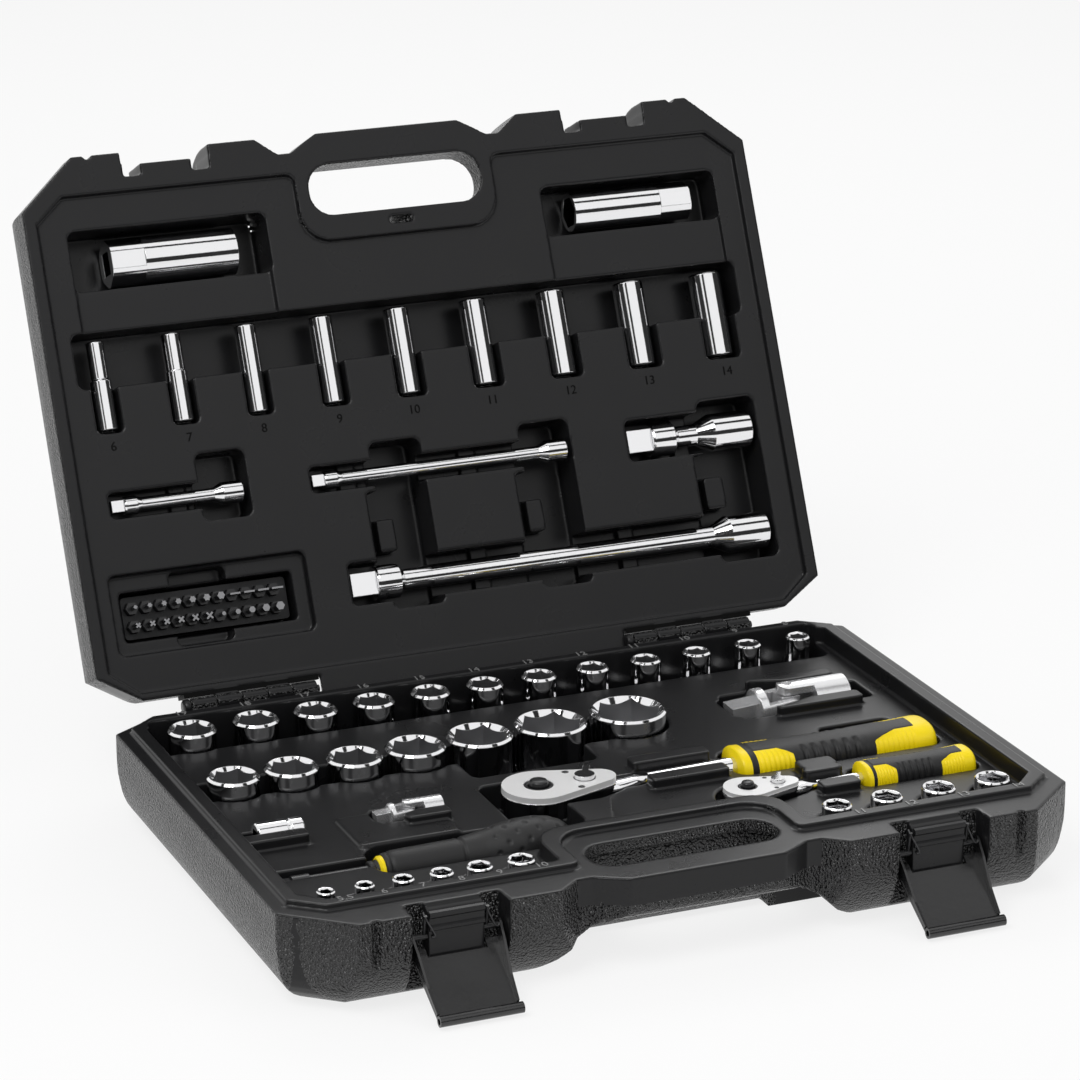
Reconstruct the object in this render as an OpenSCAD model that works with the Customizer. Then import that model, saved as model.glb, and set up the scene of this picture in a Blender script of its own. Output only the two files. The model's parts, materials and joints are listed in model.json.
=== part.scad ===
// Socket wrench set in a moulded carrying case, millimetres.
// Origin: middle of the base's underside.  +X right, +Y to the hinges, +Z up.
// The lid and all that it holds are drawn in their closed place, then opened.

/* [Case] */
// Width of the case
case_w = 430; // [426:1:450]
// Depth of the case, latch side to hinge side
case_d = 298; // [296:1:312]
// Height of the base half
base_h = 50; // [48:0.5:58]
// Height of the lid half
lid_h = 38; // [36:0.5:46]
// Angle that the lid stands open at its stop
lid_open = 115; // [100:1:120]
// Straight band of the outer wall beside the parting line
wall_band = 13; // [8:0.5:15]
// Radius of the curved outer wall
wall_r = 44; // [38:1:60]
// Radius of the fuller wall at the sides and the slanted corners
side_wall_r = 90; // [60:1:110]
// Radius that turns the base wall into its underside
base_edge_r = 23.5; // [18:0.5:26]
// Radius that turns the lid wall into its top
lid_edge_r = 14; // [8:0.5:16]
// Width of the slanted front corners
front_cut_x = 32; // [20:1:40]
// Depth of the slanted front corners
front_cut_y = 28; // [18:1:34]
// Width of the slanted back corners
back_cut_x = 24; // [14:1:30]
// Depth of the slanted back corners
back_cut_y = 15; // [8:1:20]

/* [Seal lip and tray] */
// Height of the raised lip on the base
lip_h = 3; // [2:0.1:4]
// Distance from the case's edge to the lip at the sides
lip_side = 8; // [7:0.5:12]
// Distance from the case's front edge to the lip
lip_front = 22; // [20:0.5:26]
// Distance from the case's back edge to the lip
lip_back = 4.5; // [3:0.1:5]
// Width of the flat strip on top of the lip
strip_w = 7.5; // [6:0.5:9]
// Gap round the lip when the lid is shut
lip_gap = 0.5; // [0.3:0.1:1]
// Gap between the two halves when the lid is shut
seam = 0.4; // [0.3:0.1:0.8]
// Depth of the base tray's surface under the parting line
field_d = 7; // [5:0.5:8]
// Depth of the raised saddles' tops under the parting line
saddle_d = 1.5; // [1:0.5:2.5]

/* [Carrying handle] */
// Half of the handle's length at its outer edge
handle_half = 42; // [36:1:48]
// Half of the finger slot's length
slot_half = 51; // [44:1:52]
// Width of the grip bar in front of the finger slot
grip_bar = 18; // [14:0.5:20]
// Height of the grip bar in each half
bar_h = 25; // [22:0.5:30]
// Width of the finger slot
slot_w = 28.5; // [24:0.5:32]
// Corner radius of the finger slot
slot_r = 13; // [6:1:14]
// How much wider the slot is away from the parting line
slot_flare = 4; // [2:0.5:6]

/* [Hinges] */
// Distance of the hinge axis behind the case's back edge
hinge_back = 7; // [6.2:0.1:9]
// Outer radius of the hinge knuckles
knuckle_r = 4.6; // [4:0.1:5.2]
// Diameter of the hinge pins
hinge_pin_d = 4; // [3:0.1:5]
// Running clearance of the hinge pins, on the radius
pin_gap = 0.05; // [0.02:0.01:0.1]
// Distance of each hinge from the middle
hinge_x = 130; // [110:1:150]
// Length of each hinge
hinge_len = 72; // [60:1:90]
// Gap between neighbouring knuckles
knuckle_gap = 0.6; // [0.4:0.1:1.5]

/* [Latches] */
// Distance of each latch from the middle
latch_x = 130.5; // [120:0.5:136]
// Half width of the latch recess
recess_half = 25; // [24:0.5:28]
// Depth of the latch recess behind the front edge
recess_d = 7; // [6:0.5:9]
// Half width of the block between the latch's side flanges
block_half = 14.5; // [12:0.5:16]
// Half width of the latch lever at its pivot
lever_half = 23.5; // [21:0.25:23.75]
// Half width of the latch lever at its rolled lip
lever_tip_half = 21; // [19:0.25:21.5]
// Length of the lever, pivot to rolled lip
lever_len = 44.5; // [40:0.5:46]
// Thickness of the latch sheet
sheet_t = 1.2; // [0.8:0.1:1.6]
// Distance from the pivot to the lever's plate
lever_off = 5; // [4.5:0.5:6]
// Radius of the rolled lip
roll_r = 2.8; // [2.4:0.1:3.2]
// Diameter of the latch pivot wire
latch_pin_d = 3; // [2.4:0.1:3.6]
// Depth of the pivot under the parting line
pivot_d = 16; // [15:0.5:20]
// Swing of the lever, shut to hanging open
lever_swing = 127; // [100:1:130]

/* [Half inch sockets] */
// Length of the sockets up to 24
half_len = 38; // [34:0.5:40]
// Length of the sockets over 24
big_len = 42; // [38:0.5:44]
// Across flats of the square drive
half_sq = 12.7; // [12.7:0.1:13]
// Outer diameter at the drive end of small sockets
half_drive_d = 22; // [20:0.5:24]
// Height of the sockets' mouths over the parting line
mouth_z = 1.5; // [0.5:0.1:2]
// Gap between a tool and its pocket's floor or wall
seat_gap = 0.35; // [0.3:0.05:0.6]
// Wider gap round each socket
socket_gap = 1.6; // [1:0.1:2]

/* [Quarter inch sockets] */
// Length of the short sockets
quarter_len = 25; // [22:0.5:28]
// Length of the deep sockets
deep_len = 49; // [46:0.5:50]
// Across flats of the square drive
quarter_sq = 6.35; // [6.3:0.05:6.5]
// Outer diameter at the drive end of small sockets
quarter_drive_d = 12; // [11.5:0.1:13]

/* [Ratchets] */
// Length of the half inch ratchet
ratchet_a_len = 244; // [236:1:250]
// Length of the quarter inch ratchet
ratchet_b_len = 141; // [136:1:146]
// Length of the half inch ratchet's grip
grip_a_len = 114; // [100:1:120]
// Length of the quarter inch ratchet's grip
grip_b_len = 63; // [58:1:68]
// Radius of the half inch ratchet's head
head_a_r = 19.5; // [18:0.5:21]
// Radius of the quarter inch ratchet's head
head_b_r = 13; // [12:0.5:14]

/* [Long tools] */
// Length of the long half inch extension
ext_long_len = 254; // [240:1:256]
// Length of the short half inch extension
ext_short_len = 77; // [70:1:80]
// Length of the long quarter inch extension
ext_slim_len = 152; // [140:1:156]
// Length of the short quarter inch extension
ext_stub_len = 75; // [68:1:78]
// Length of the spinner handle with its shaft
spinner_len = 160; // [150:1:162]
// Length of the spinner's grip
spinner_grip_len = 101; // [96:1:104]
// Length of the spinner's shaft inside its grip
spinner_tang = 40; // [30:1:50]
// Length of the yellow ferrule in front of the spinner's grip
ferrule_len = 5; // [4:0.5:8]
// Length of the half inch universal joint
uj_a_len = 69; // [66:1:72]
// Length of the quarter inch universal joint
uj_b_len = 36; // [34:1:38]
// Angle by which the joints' square ends hang down
uj_droop = 4; // [2:0.5:6]
// Angle by which the joints' square ends swing to each side
uj_swing = 20; // [10:1:22]
// Length of the screwdriver bits
bit_len = 25; // [22:0.5:26]

/* [Hidden] */

// [size, x] of the half inch sockets in the back row and in the middle row
ROW_BACK = [[19, -176], [18, -140], [17, -106], [16, -72.5], [15, -39.5], [14, -7.5],
            [13, 24.5], [12, 56.5], [11, 88.5], [10, 119.5], [9, 151], [8, 182]];
ROW_MID = [[20, -177.5], [21, -145.5], [22, -110.5], [24, -76], [27, -39], [30, 2.5], [32, 48]];
// [size, x] of the quarter inch sockets on the left and on the right of the handle
ROW_LEFT = [[5.5, -184], [6, -164], [7, -144], [8, -124], [9, -104], [10, -82]];
ROW_RIGHT = [[11, 92], [12, 120.5], [13, 150.5], [14, 182]];
// [size, x] of the deep sockets in the lid
ROW_DEEP = [[6, -184], [7, -141], [8, -98], [9, -54], [10, -9], [11, 37], [12, 84.5],
            [13, 133], [14, 181.5]];

hw = case_w / 2;
hd = case_d / 2;
hinge_y = hd + hinge_back;
big = case_w;
tiny = 0.01;

lip_x = hw - lip_side;
lip_y0 = -hd + lip_front;
lip_y1 = hd - lip_back;
lip_cut = 16;
well_x = lip_x - strip_w;
well_y0 = lip_y0 + strip_w;
well_y1 = lip_y1 - strip_w + 1.5;
well_cut = 11;
recess_h = lip_h + seam + 0.4;

z_lip = base_h + lip_h;
z_field = base_h - field_d;
z_saddle = base_h - saddle_d;
z_mouth = base_h + mouth_z;
z_quarter = base_h + 1;
lid_top = base_h + seam + lid_h;

half_back_y = hd - 12.7;
mid_front_y = 37.5;
left_y = -106;
right_front_y = -112;
deep_y0 = -48;
deep_y1 = deep_y0 + deep_len;

// The depth of each lid tool's nearest side behind the parting line
lid_tool_d = 4;

function arc(c, r, a0, a1, n) =
    [for (i = [0:n]) let (a = a0 + (a1 - a0) * i / n) [c[0] + r * cos(a), c[1] + r * sin(a)]];

// A rectangle with round corners, as points
function round_rect(x0, y0, x1, y1, r, n = 4) = concat(
    arc([x1 - r, y1 - r], r, 0, 90, n), arc([x0 + r, y1 - r], r, 90, 180, n),
    arc([x0 + r, y0 + r], r, 180, 270, n), arc([x1 - r, y0 + r], r, 270, 360, n));

// The outline round two circles on one line, as points from the second to the first
function teardrop(r1, r2, len, n = 10) = let (a = acos((r1 - r2) / len)) concat(
    arc([0, 0], r1, a, 360 - a, 2 * n), arc([len, 0], r2, -a, a, n));

// An ellipse with fuller flanks, as points
function full_oval(a, b, n = 28, p = 0.8) =
    [for (i = [0:n - 1]) let (t = 360 * i / n)
        [a * sign(cos(t)) * pow(abs(cos(t)), p), b * sign(sin(t)) * pow(abs(sin(t)), p)]];

// Outer diameter of a socket of the half inch and of the quarter inch sets
function half_d(size) = 4.6 + 1.15 * size;
function quarter_d(size) = 3.3 + 1.1 * size;
function half_socket_len(size) = size > 24 ? big_len : half_len;

// Inset of the outer wall at each depth from the parting line, as [inset, depth] points
function wall_curve(h, r, edge_r, n = 6) =
    let (a = asin((h - wall_band - edge_r) / (r - edge_r)),
         in0 = r * (1 - cos(a)), d0 = wall_band + r * sin(a))
    concat([[0, 0]],
        [for (i = [0:n]) let (t = a * i / n) [r * (1 - cos(t)), wall_band + r * sin(t)]],
        [for (i = [1:n]) let (t = a + (90 - a) * i / n)
            [in0 + edge_r * (cos(a) - cos(t)), d0 + edge_r * (sin(t) - sin(a))]]);

module along_x() { rotate([90, 0, 90]) children(); }

// A cut with straight walls from z0 up to z1 through a list of points
module prism(pts, z0, z1) {
    translate([0, 0, z0]) linear_extrude(z1 - z0) polygon(pts);
}

// ---- Outer form of one half, parting line at z = 0, body towards -Z ----

module wall_slab(dist, ang, h, r, edge_r) {
    w = wall_curve(h, r, edge_r);
    pts = concat([for (p = w) [dist - p[0], -p[1]]], [[-big, -h], [-big, 0]]);
    rotate([0, 0, ang]) translate([0, big, 0]) rotate([90, 0, 0]) linear_extrude(2 * big) polygon(pts);
}

module half_form(h, edge_r) {
    front_a = atan2(front_cut_x, front_cut_y);
    back_a = atan2(back_cut_x, back_cut_y);
    front_dist = hw * cos(front_a) + (hd - front_cut_y) * sin(front_a);
    back_dist = hw * cos(back_a) + (hd - back_cut_y) * sin(back_a);
    intersection() {
        wall_slab(hd, 90, h, wall_r, edge_r);
        wall_slab(hd, 270, h, wall_r, edge_r);
        side_slabs(front_dist, front_a, back_dist, back_a, h, edge_r);
        mirror([1, 0, 0]) side_slabs(front_dist, front_a, back_dist, back_a, h, edge_r);
    }
}

module side_slabs(front_dist, front_a, back_dist, back_a, h, edge_r) {
    side_edge_r = edge_r - 3;
    intersection() {
        wall_slab(hw, 0, h, side_wall_r, side_edge_r);
        wall_slab(front_dist, -front_a, h, side_wall_r, side_edge_r);
        wall_slab(back_dist, back_a, h, side_wall_r, side_edge_r);
    }
}

// The V between the handle bar and the case's front, cut through both halves
module handle_shoulders(z0, z1) {
    v_x = handle_half + 24;
    v_y = -hd + 9.5;
    for (s = [-1, 1])
        prism([for (p = [[handle_half, -hd - 1], [handle_half, -hd], [handle_half + 8, v_y - 5],
                         [handle_half + 16, v_y], [v_x, v_y], [v_x + 12, -hd], [v_x + 12, -hd - 1]])
                  [s * p[0], p[1]]], z0, z1);
}

// The finger slot, wider away from the parting line; up = 1 for the lid, -1 for the base
module finger_slot(h, up) {
    y0 = -hd + grip_bar;
    y1 = y0 + slot_w;
    web = 6;
    f = slot_flare;
    translate([0, 0, base_h]) scale([1, 1, up]) {
        prism(round_rect(-slot_half, y0, slot_half, y1, slot_r, 5), -10, web + tiny);
        prism(round_rect(-slot_half - f, y0 - 0.5, slot_half + f, y1 + f / 2, slot_r + f / 2, 5), web, 60);
        grip_arch(h);
    }
}

// The space under the grip bar of a half of height h: sloping ends, the bar's rounded lower edge
// and the rounded foot of the wall behind
module grip_arch(h) {
    y_back = -hd + grip_bar + slot_w;
    end_x = slot_half + slot_flare;
    foot_r = 14;
    ends = [[end_x + 38, h + 10], [end_x + 36, h], [end_x + 21, h - 9], [end_x + 11, bar_h + 6],
            [end_x + 3, bar_h + 1], [end_x, bar_h]];
    translate([0, y_back, 0]) rotate([90, 0, 0]) linear_extrude(grip_bar + slot_w + 5)
        polygon(concat(ends, [for (i = [len(ends) - 1:-1:0]) [-ends[i][0], ends[i][1]]]));
    along_x() translate([0, 0, -end_x]) linear_extrude(2 * end_x) {
        polygon([[-hd - 6, bar_h + 4], [-hd - 6, bar_h - 11], [-hd, bar_h - 11], [-hd + 0.3, bar_h - 7],
                 [-hd + 2, bar_h - 4.3], [-hd + 6, bar_h - 2], [-hd + 12, bar_h - 0.5],
                 [-hd + 16, bar_h], [-hd + 16, bar_h + 4]]);
        polygon(concat([[y_back - 2, h + 1], [y_back - 2, h - foot_r]],
            arc([y_back + foot_r, h - foot_r], foot_r, 180, 90, 5), [[y_back + foot_r, h + 1]]));
    }
}

// Recess in the front wall for one latch, with its two deeper side channels
module latch_recess(s, z0, z1) {
    translate([s * latch_x, 0, 0]) {
        prism(round_rect(-recess_half, -hd - 5, recess_half, -hd + recess_d, 1, 2), z0, z1);
        for (k = [-1, 1]) {
            inner = k * (block_half);
            outer = k * (recess_half - 0.3);
            prism(round_rect(min(inner, outer), -hd - 5, max(inner, outer), -hd + recess_d + 6.5, 1, 2),
                  z0, z1);
        }
    }
}

function lip_points(grow) = let (x = lip_x + grow, y0 = lip_y0 - grow, y1 = lip_y1 + grow,
    c = lip_cut, bx = handle_half + 17 - grow, by = lip_y0 + 39 - grow, r = 17)
    concat([[-x + c, y0], [-bx - 5, y0]], arc([-bx - 5, y0 + 5], 5, -90, 0, 3),
        arc([-bx + r, by - r], r, 180, 90, 5), arc([bx - r, by - r], r, 90, 0, 5),
        arc([bx + 5, y0 + 5], 5, 180, 270, 3),
        [[x - c, y0], [x, y0 + c * 0.85], [x, y1 - c * 0.8], [x - c, y1], [-x + c, y1],
         [-x, y1 - c * 0.8], [-x, y0 + c * 0.85]]);

// ---- Hinge ----

function knuckle_count() = 5;
function knuckle_pitch() = hinge_len / knuckle_count();

// Knuckles first, first + 2 ... of one hinge; up = 1 joins them to the lid, -1 to the base
module knuckles(first, up) {
    w = knuckle_pitch() - knuckle_gap;
    bore_r = hinge_pin_d / 2 + pin_gap;
    for (s = [-1, 1], i = [first:2:knuckle_count() - 1])
        translate([s * hinge_x - hinge_len / 2 + i * knuckle_pitch() + knuckle_gap / 2, hinge_y, base_h])
            difference() {
                union() {
                    rotate([0, 90, 0]) cylinder(r = knuckle_r, h = w, $fn = 48);
                    translate([0, -hinge_back - 3, up > 0 ? seam : -knuckle_r])
                        cube([w, hinge_back + 3, knuckle_r - seam]);
                }
                translate([-1, 0, 0]) rotate([0, 90, 0]) cylinder(r = bore_r, h = w + 2, $fn = 48);
            }
}

// Strip on the lid between the hinges, which covers the gap behind the base when the lid is open
module back_strip() {
    x = hinge_x - hinge_len / 2 - 3.5;
    translate([-x, hd - 2, base_h + seam]) cube([2 * x, hinge_back + 6, 2.6]);
}

module hinge_pins() {
    color("gainsboro") for (s = [-1, 1])
        translate([s * hinge_x - hinge_len / 2 - 1.5, hinge_y, base_h])
            rotate([0, 90, 0]) cylinder(r = hinge_pin_d / 2, h = hinge_len + 3, $fn = 48);
}

// ---- Base shell ----

// One pocket for a standing socket
module socket_pocket(x, y, d, len, top) {
    translate([x, y, top - len - seat_gap])
        cylinder(r = d / 2 + socket_gap, h = base_h, $fn = 48);
}

module row_back_pockets() {
    y0 = 111;
    prism(round_rect(-well_x + 2, y0, well_x - 4, well_y1, 6), z_mouth - 26, z_lip + 1);
    for (s = ROW_BACK) {
        d = max(half_d(s[0]), half_drive_d);
        socket_pocket(s[1], half_back_y - d / 2, d, half_len, z_mouth);
    }
}

module row_mid_pockets() {
    prism(round_rect(-well_x + 3, 41, 66, 66, 6), z_mouth - 26, z_lip + 1);
    prism(round_rect(-57, 18, 14, 48, 5), z_mouth - 30, z_lip + 1);
    for (s = ROW_MID) {
        d = half_d(s[0]);
        socket_pocket(s[1], mid_front_y + d / 2, d, half_socket_len(s[0]), z_mouth);
    }
}

module quarter_pockets() {
    for (s = ROW_LEFT) {
        d = max(quarter_d(s[0]), quarter_drive_d);
        socket_pocket(s[1], left_y, d, quarter_len, z_quarter);
    }
    for (s = ROW_RIGHT) {
        d = quarter_d(s[0]);
        socket_pocket(s[1], right_front_y + d / 2, d, quarter_len, z_quarter);
    }
}

// Where the ratchets, the spinner, the universal joints and the adapter lie in the base
rat_a = [-35, -16, base_h - 10];
rat_b = [63, -60, base_h - 8];
grip_a_x = rat_a[0] - head_a_r + ratchet_a_len - grip_a_len;
grip_b_x = rat_b[0] - head_b_r + ratchet_b_len - grip_b_len;
head_a_h = 20;
head_b_h = 13;
head_top = base_h - 1.5;
grip_a_ry = 16;
grip_a_rz = 12;
grip_b_ry = 11.5;
grip_b_rz = 9.5;
drive_a_len = 16;
drive_b_len = 8;
spin_at = [-36, -64, base_h - 13];
spin_r = 15.5;
neck_a_r = 6.5;
neck_b_r = 4;
uj_a = [176.5 - uj_a_len / 2, 57.5, base_h - 9.5];
uj_b = [-88 - uj_b_len / 2, -13, base_h - 6];
uj_a_r = 12;
uj_b_r = 6.4;
adapter_at = [-188, -13, base_h - 6];
adapter_r = 6.5;
adapter_len = 25;

module tool_pockets_base() {
    g = seat_gap;
    w = 1.2;
    // half inch ratchet: head well, neck channel, grip trough
    prism([for (p = teardrop(head_a_r + 5, 12, 36)) [p[0] + rat_a[0], p[1] + rat_a[1]]],
          head_top - head_a_h - g, z_lip + 1);
    prism(round_rect(rat_a[0] - 26, -50, rat_a[0] + 12, 6, 6), head_top - head_a_h - g, z_lip + 1);
    prism(round_rect(rat_a[0] - 12, rat_a[1] - 12, rat_a[0] + 12, rat_a[1] + 12, 4),
          head_top - head_a_h - drive_a_len - 1, z_lip + 1);
    prism(round_rect(rat_a[0] + 20, rat_a[1] - neck_a_r - w, grip_a_x + 6, rat_a[1] + neck_a_r + w, 2),
          rat_a[2] - neck_a_r - g, z_lip + 1);
    prism(round_rect(grip_a_x - 4, rat_a[1] - grip_a_ry - w, grip_a_x + grip_a_len + 2,
                     rat_a[1] + grip_a_ry + w, 8), rat_a[2] - grip_a_rz - g, z_lip + 1);
    // quarter inch ratchet
    prism([for (p = teardrop(head_b_r + 3.5, 8, 26)) [p[0] + rat_b[0], p[1] + rat_b[1]]],
          head_top - head_b_h - g, z_lip + 1);
    prism(round_rect(rat_b[0] - 8, rat_b[1] - 8, rat_b[0] + 8, rat_b[1] + 8, 3),
          head_top - head_b_h - drive_b_len - 1, z_lip + 1);
    prism(round_rect(rat_b[0] + 14, rat_b[1] - neck_b_r - w, grip_b_x + 6, rat_b[1] + neck_b_r + w, 2),
          rat_b[2] - neck_b_r - g, z_lip + 1);
    prism(round_rect(grip_b_x - 4, rat_b[1] - grip_b_ry - w, grip_b_x + grip_b_len + 2,
                     rat_b[1] + grip_b_ry + w, 6), rat_b[2] - grip_b_rz - g, z_lip + 1);
    // spinner: shaft channel and handle trough
    prism(round_rect(spin_at[0] - spinner_len - 2, spin_at[1] - 5.5,
                     spin_at[0] - spinner_grip_len + 11, spin_at[1] + 5.5, 2),
          spin_at[2] - 9, z_lip + 1);
    prism(round_rect(spin_at[0] - spinner_grip_len - ferrule_len - 3, spin_at[1] - spin_r - w, spin_at[0] + 2,
                     spin_at[1] + spin_r + w, 9), spin_at[2] - spin_r - g, z_lip + 1);
    // universal joints and adapter; the joints' square ends hang in wider recesses
    swing_recess(uj_a, uj_a_len, uj_a_r, half_sq);
    swing_recess(uj_b, uj_b_len, uj_b_r, quarter_sq);
    prism(round_rect(uj_a[0] - uj_a_len / 2 - 2, uj_a[1] - uj_a_r - w, uj_a[0] + uj_a_len / 2 + 12,
                     uj_a[1] + uj_a_r + w, 3), uj_a[2] - uj_a_r - g, z_lip + 1);
    prism(round_rect(uj_b[0] - uj_b_len / 2 - 2, uj_b[1] - uj_b_r - w, uj_b[0] + uj_b_len / 2 + 2,
                     uj_b[1] + uj_b_r + w, 2.5), uj_b[2] - uj_b_r - g, z_lip + 1);
    prism(round_rect(adapter_at[0] - 7, adapter_at[1] - adapter_r - w, adapter_at[0] + adapter_len + 1,
                     adapter_at[1] + adapter_r + w, 2.5), adapter_at[2] - adapter_r - g, z_lip + 1);
}

// Room for a universal joint's square end to swing by uj_swing to both sides
module swing_recess(at, len, r, sq) {
    reach = norm([len / 2, sq / 2]) + 1.5;
    shoulder = norm([len / 2 - sq * 1.2, r]) + 1.2;
    a = atan2(sq / 2, len / 2) + uj_swing;
    b = atan2(r, len / 2 - sq * 1.2) + uj_swing;
    half = [[r * 0.9, r * 1.03], [r * 0.3, r * 1.2], [-shoulder * cos(b + 6), shoulder * sin(b + 6)],
            [-shoulder * cos(b), shoulder * sin(b)], [-reach * cos(a), reach * sin(a)],
            [-reach * cos(a / 2), reach * sin(a / 2)]];
    translate([at[0], at[1], 0])
        prism(concat(half, [for (i = [len(half) - 1:-1:0]) [half[i][0], -half[i][1]]]),
              at[2] - r - len * 0.09, z_lip + 1);
}

// Finger wells beside the tools
module finger_wells_base() {
    prism(round_rect(138, 4, 180, 12, 4), z_field - 5, z_lip + 1);
}

// Raised saddles on the tray, which hold the tools' necks
module saddles() {
    for (b = [[22, -34, 66, -23], [22, -9, 66, 2.5], [100, -48, 121, -37],
              [99, -76, 121, -65.5], [99, -54.5, 121, -48], [127, 34, 178, 44.5],
              [127, 71, 178, 80], [-199, -31, -164.5, -20.8], [-112, -31, -88, -20.8]])
        prism(round_rect(b[0], b[1], b[2], b[3], 2.5), z_field - 2, z_saddle);
}

// Step in the tray behind the spinner
module step_plateau() {
    prism(round_rect(-144, -46.8, -90, -8, 2), z_field - 2, z_field + 1.6);
}

module middle_plateau() {
    prism([[-43, -56], [-38, -52.5], [-10, -52], [-22, -82], [-43, -82]], z_field - 2, z_lip - 1);
}

module well_form(z) {
    r = 17;
    bx = handle_half + 25;
    by = lip_y0 + 47;
    c = well_cut;
    prism(concat([[-well_x + c, well_y0], [-bx - 3, well_y0]], arc([-bx - 3, well_y0 + 3], 3, -90, 0, 2),
        arc([-bx + r, by - r], r, 180, 90, 5), arc([bx - r, by - r], r, 90, 0, 5),
        arc([bx + 3, well_y0 + 3], 3, 180, 270, 2),
        [[well_x - c, well_y0], [well_x, well_y0 + c], [well_x, well_y1 - c], [well_x - c, well_y1],
         [-well_x + c, well_y1], [-well_x, well_y1 - c], [-well_x, well_y0 + c]]), z, z_lip + 1);
}

module base_shell() {
    color([0.11, 0.11, 0.12]) difference() {
        union() {
            difference() {
                union() {
                    translate([0, 0, base_h]) half_form(base_h, base_edge_r);
                    prism(lip_points(0), base_h - 1, z_lip);
                    knuckles(0, -1);
                }
                well_form(z_field);
            }
            saddles();
            middle_plateau();
            step_plateau();
        }
        row_back_pockets();
        row_mid_pockets();
        quarter_pockets();
        tool_pockets_base();
        finger_wells_base();
        handle_shoulders(-1, z_lip);
        finger_slot(base_h, -1);
        for (s = [-1, 1]) {
            latch_recess(s, -1, z_lip);
            latch_block_top(s);
            latch_pin_bore(s);
            wall_groove(s, base_h, 1);
        }
    }
}

// The step and the rounded top edge of the block between a latch's flanges
module latch_block_top(s) {
    y = -hd + recess_d;
    translate([s * latch_x - block_half - 1, 0, 0]) along_x() linear_extrude(2 * block_half + 2)
        polygon([[y - 1, base_h - 8], [y + 1.4, base_h - 8], [y + 1.4, base_h - 4], [y + 2, base_h - 2.6],
                 [y + 3.4, base_h - 2], [y + 5, base_h - 2], [y + 5, z_lip], [y - 1, z_lip]]);
}

module latch_pin_bore(s) {
    translate([s * latch_x - block_half - 1, -hd + recess_d + 2.5, base_h - pivot_d])
        rotate([0, 90, 0]) cylinder(r = latch_pin_d / 2 + pin_gap, h = 2 * block_half + 2, $fn = 48);
}

// Upright groove in the front wall beside each front corner
module wall_groove(s, h, up) {
    translate([s * (hw - front_cut_x - 9), -hd, up > 0 ? 0 : base_h])
        cylinder(r = 2.2, h = h, $fn = 32);
}

// ---- Lid shell, drawn shut ----

module opened() {
    translate([0, hinge_y, base_h]) rotate([-lid_open, 0, 0]) translate([0, -hinge_y, -base_h]) children();
}

// A lid pocket from depth d down to the tray, both measured from the parting line
module lid_pocket(x0, y0, x1, y1, r, d) {
    prism(round_rect(x0, y0, x1, y1, r), base_h - 1, base_h + d);
}

ext_a_r = 10.75;
ext_b_r = 6.25;
bar_a_r = 6.25;
bar_b_r = 3.8;
plug_a_r = 13.25;
plug_b_r = 11;
ext_long_at = [192.5, 102.5];
ext_short_at = [192.5, 43.5];
ext_slim_at = [77.5, 42.5];
ext_stub_at = [-114.5, 42.5];
plug_a_at = [-168, -91];
plug_b_at = [106, -92];
plug_len = 72;
rack_at = [-191, 91.5];
rack_size = [94, 23];
rack_d = 16;
bit_rows = [98, 108];
bit_x0 = -186;
bit_pitch = 8.1;
bit_n = 11;

module ext_pocket(at, len, r) {
    w = 1;
    lid_pocket(at[0] - len - 2, at[1] - r - w, at[0] + 2, at[1] + r + w, 2.5, lid_tool_d + 2 * r + seat_gap);
}

module lid_pockets() {
    // deep sockets in cradles in front of one long trench
    lid_pocket(-198, -52.5, 197, -22, 4, 27);
    for (s = ROW_DEEP) {
        d = max(quarter_d(s[0]), quarter_drive_d);
        lid_pocket(s[1] - d / 2 - 1.5, deep_y0 - 1, s[1] + d / 2 + 1.5, deep_y1 + 2, 3,
                   lid_tool_d + d + seat_gap);
    }
    // plug sockets
    lid_pocket(-191, -108.5, -78, -75.5, 4, lid_tool_d + 2 * plug_a_r + seat_gap);
    lid_pocket(-191, -80, -79, -50, 2, recess_h + 2.5);
    lid_pocket(86.5, -106, 193.5, -78, 4, lid_tool_d + 2 * plug_b_r + seat_gap);
    lid_pocket(86.5, -80, 193.5, -50, 2, recess_h + 2.5);
    // extensions, with finger channels across them
    ext_pocket(ext_long_at, ext_long_len, ext_a_r);
    ext_pocket(ext_short_at, ext_short_len, ext_a_r);
    ext_pocket(ext_slim_at, ext_slim_len, ext_b_r);
    ext_pocket(ext_stub_at, ext_stub_len, ext_b_r);
    lid_pocket(-140, 20, -112, 57, 4, 24);
    lid_pocket(-40, 26, -10, 119, 4, 29);
    lid_pocket(-46, 53, -10, 91, 2, 21);
    lid_pocket(49, 26, 79, 119, 4, 29);
    lid_pocket(43, 53, 79, 91, 2, 21);
    lid_pocket(159, 26, 194.5, 119, 4, 29);
    lid_pocket(152, 56, 194.5, 91, 2, 21);
    // bit rack in its stepped recess
    lid_pocket(-199, 80, -87, 124, 4, 9);
    lid_pocket(rack_at[0] - 2, rack_at[1] - 2, rack_at[0] + rack_size[0] + 2,
               rack_at[1] + rack_size[1] + 2, 2, rack_d + 15.6 + seat_gap);
    lid_pocket(-164, 82, -132, 122, 3, 20);
}

// Ribs under an extension's bar at each x of a list
module bar_rests(at, r, bar_r, xs) {
    for (x = xs)
        prism(round_rect(x - 5, at[1] - r - 2, x + 5, at[1] + r + 2, 1),
              base_h + lid_tool_d + r + bar_r + seat_gap, base_h + lid_tool_d + 2 * r + 2);
}

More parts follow.
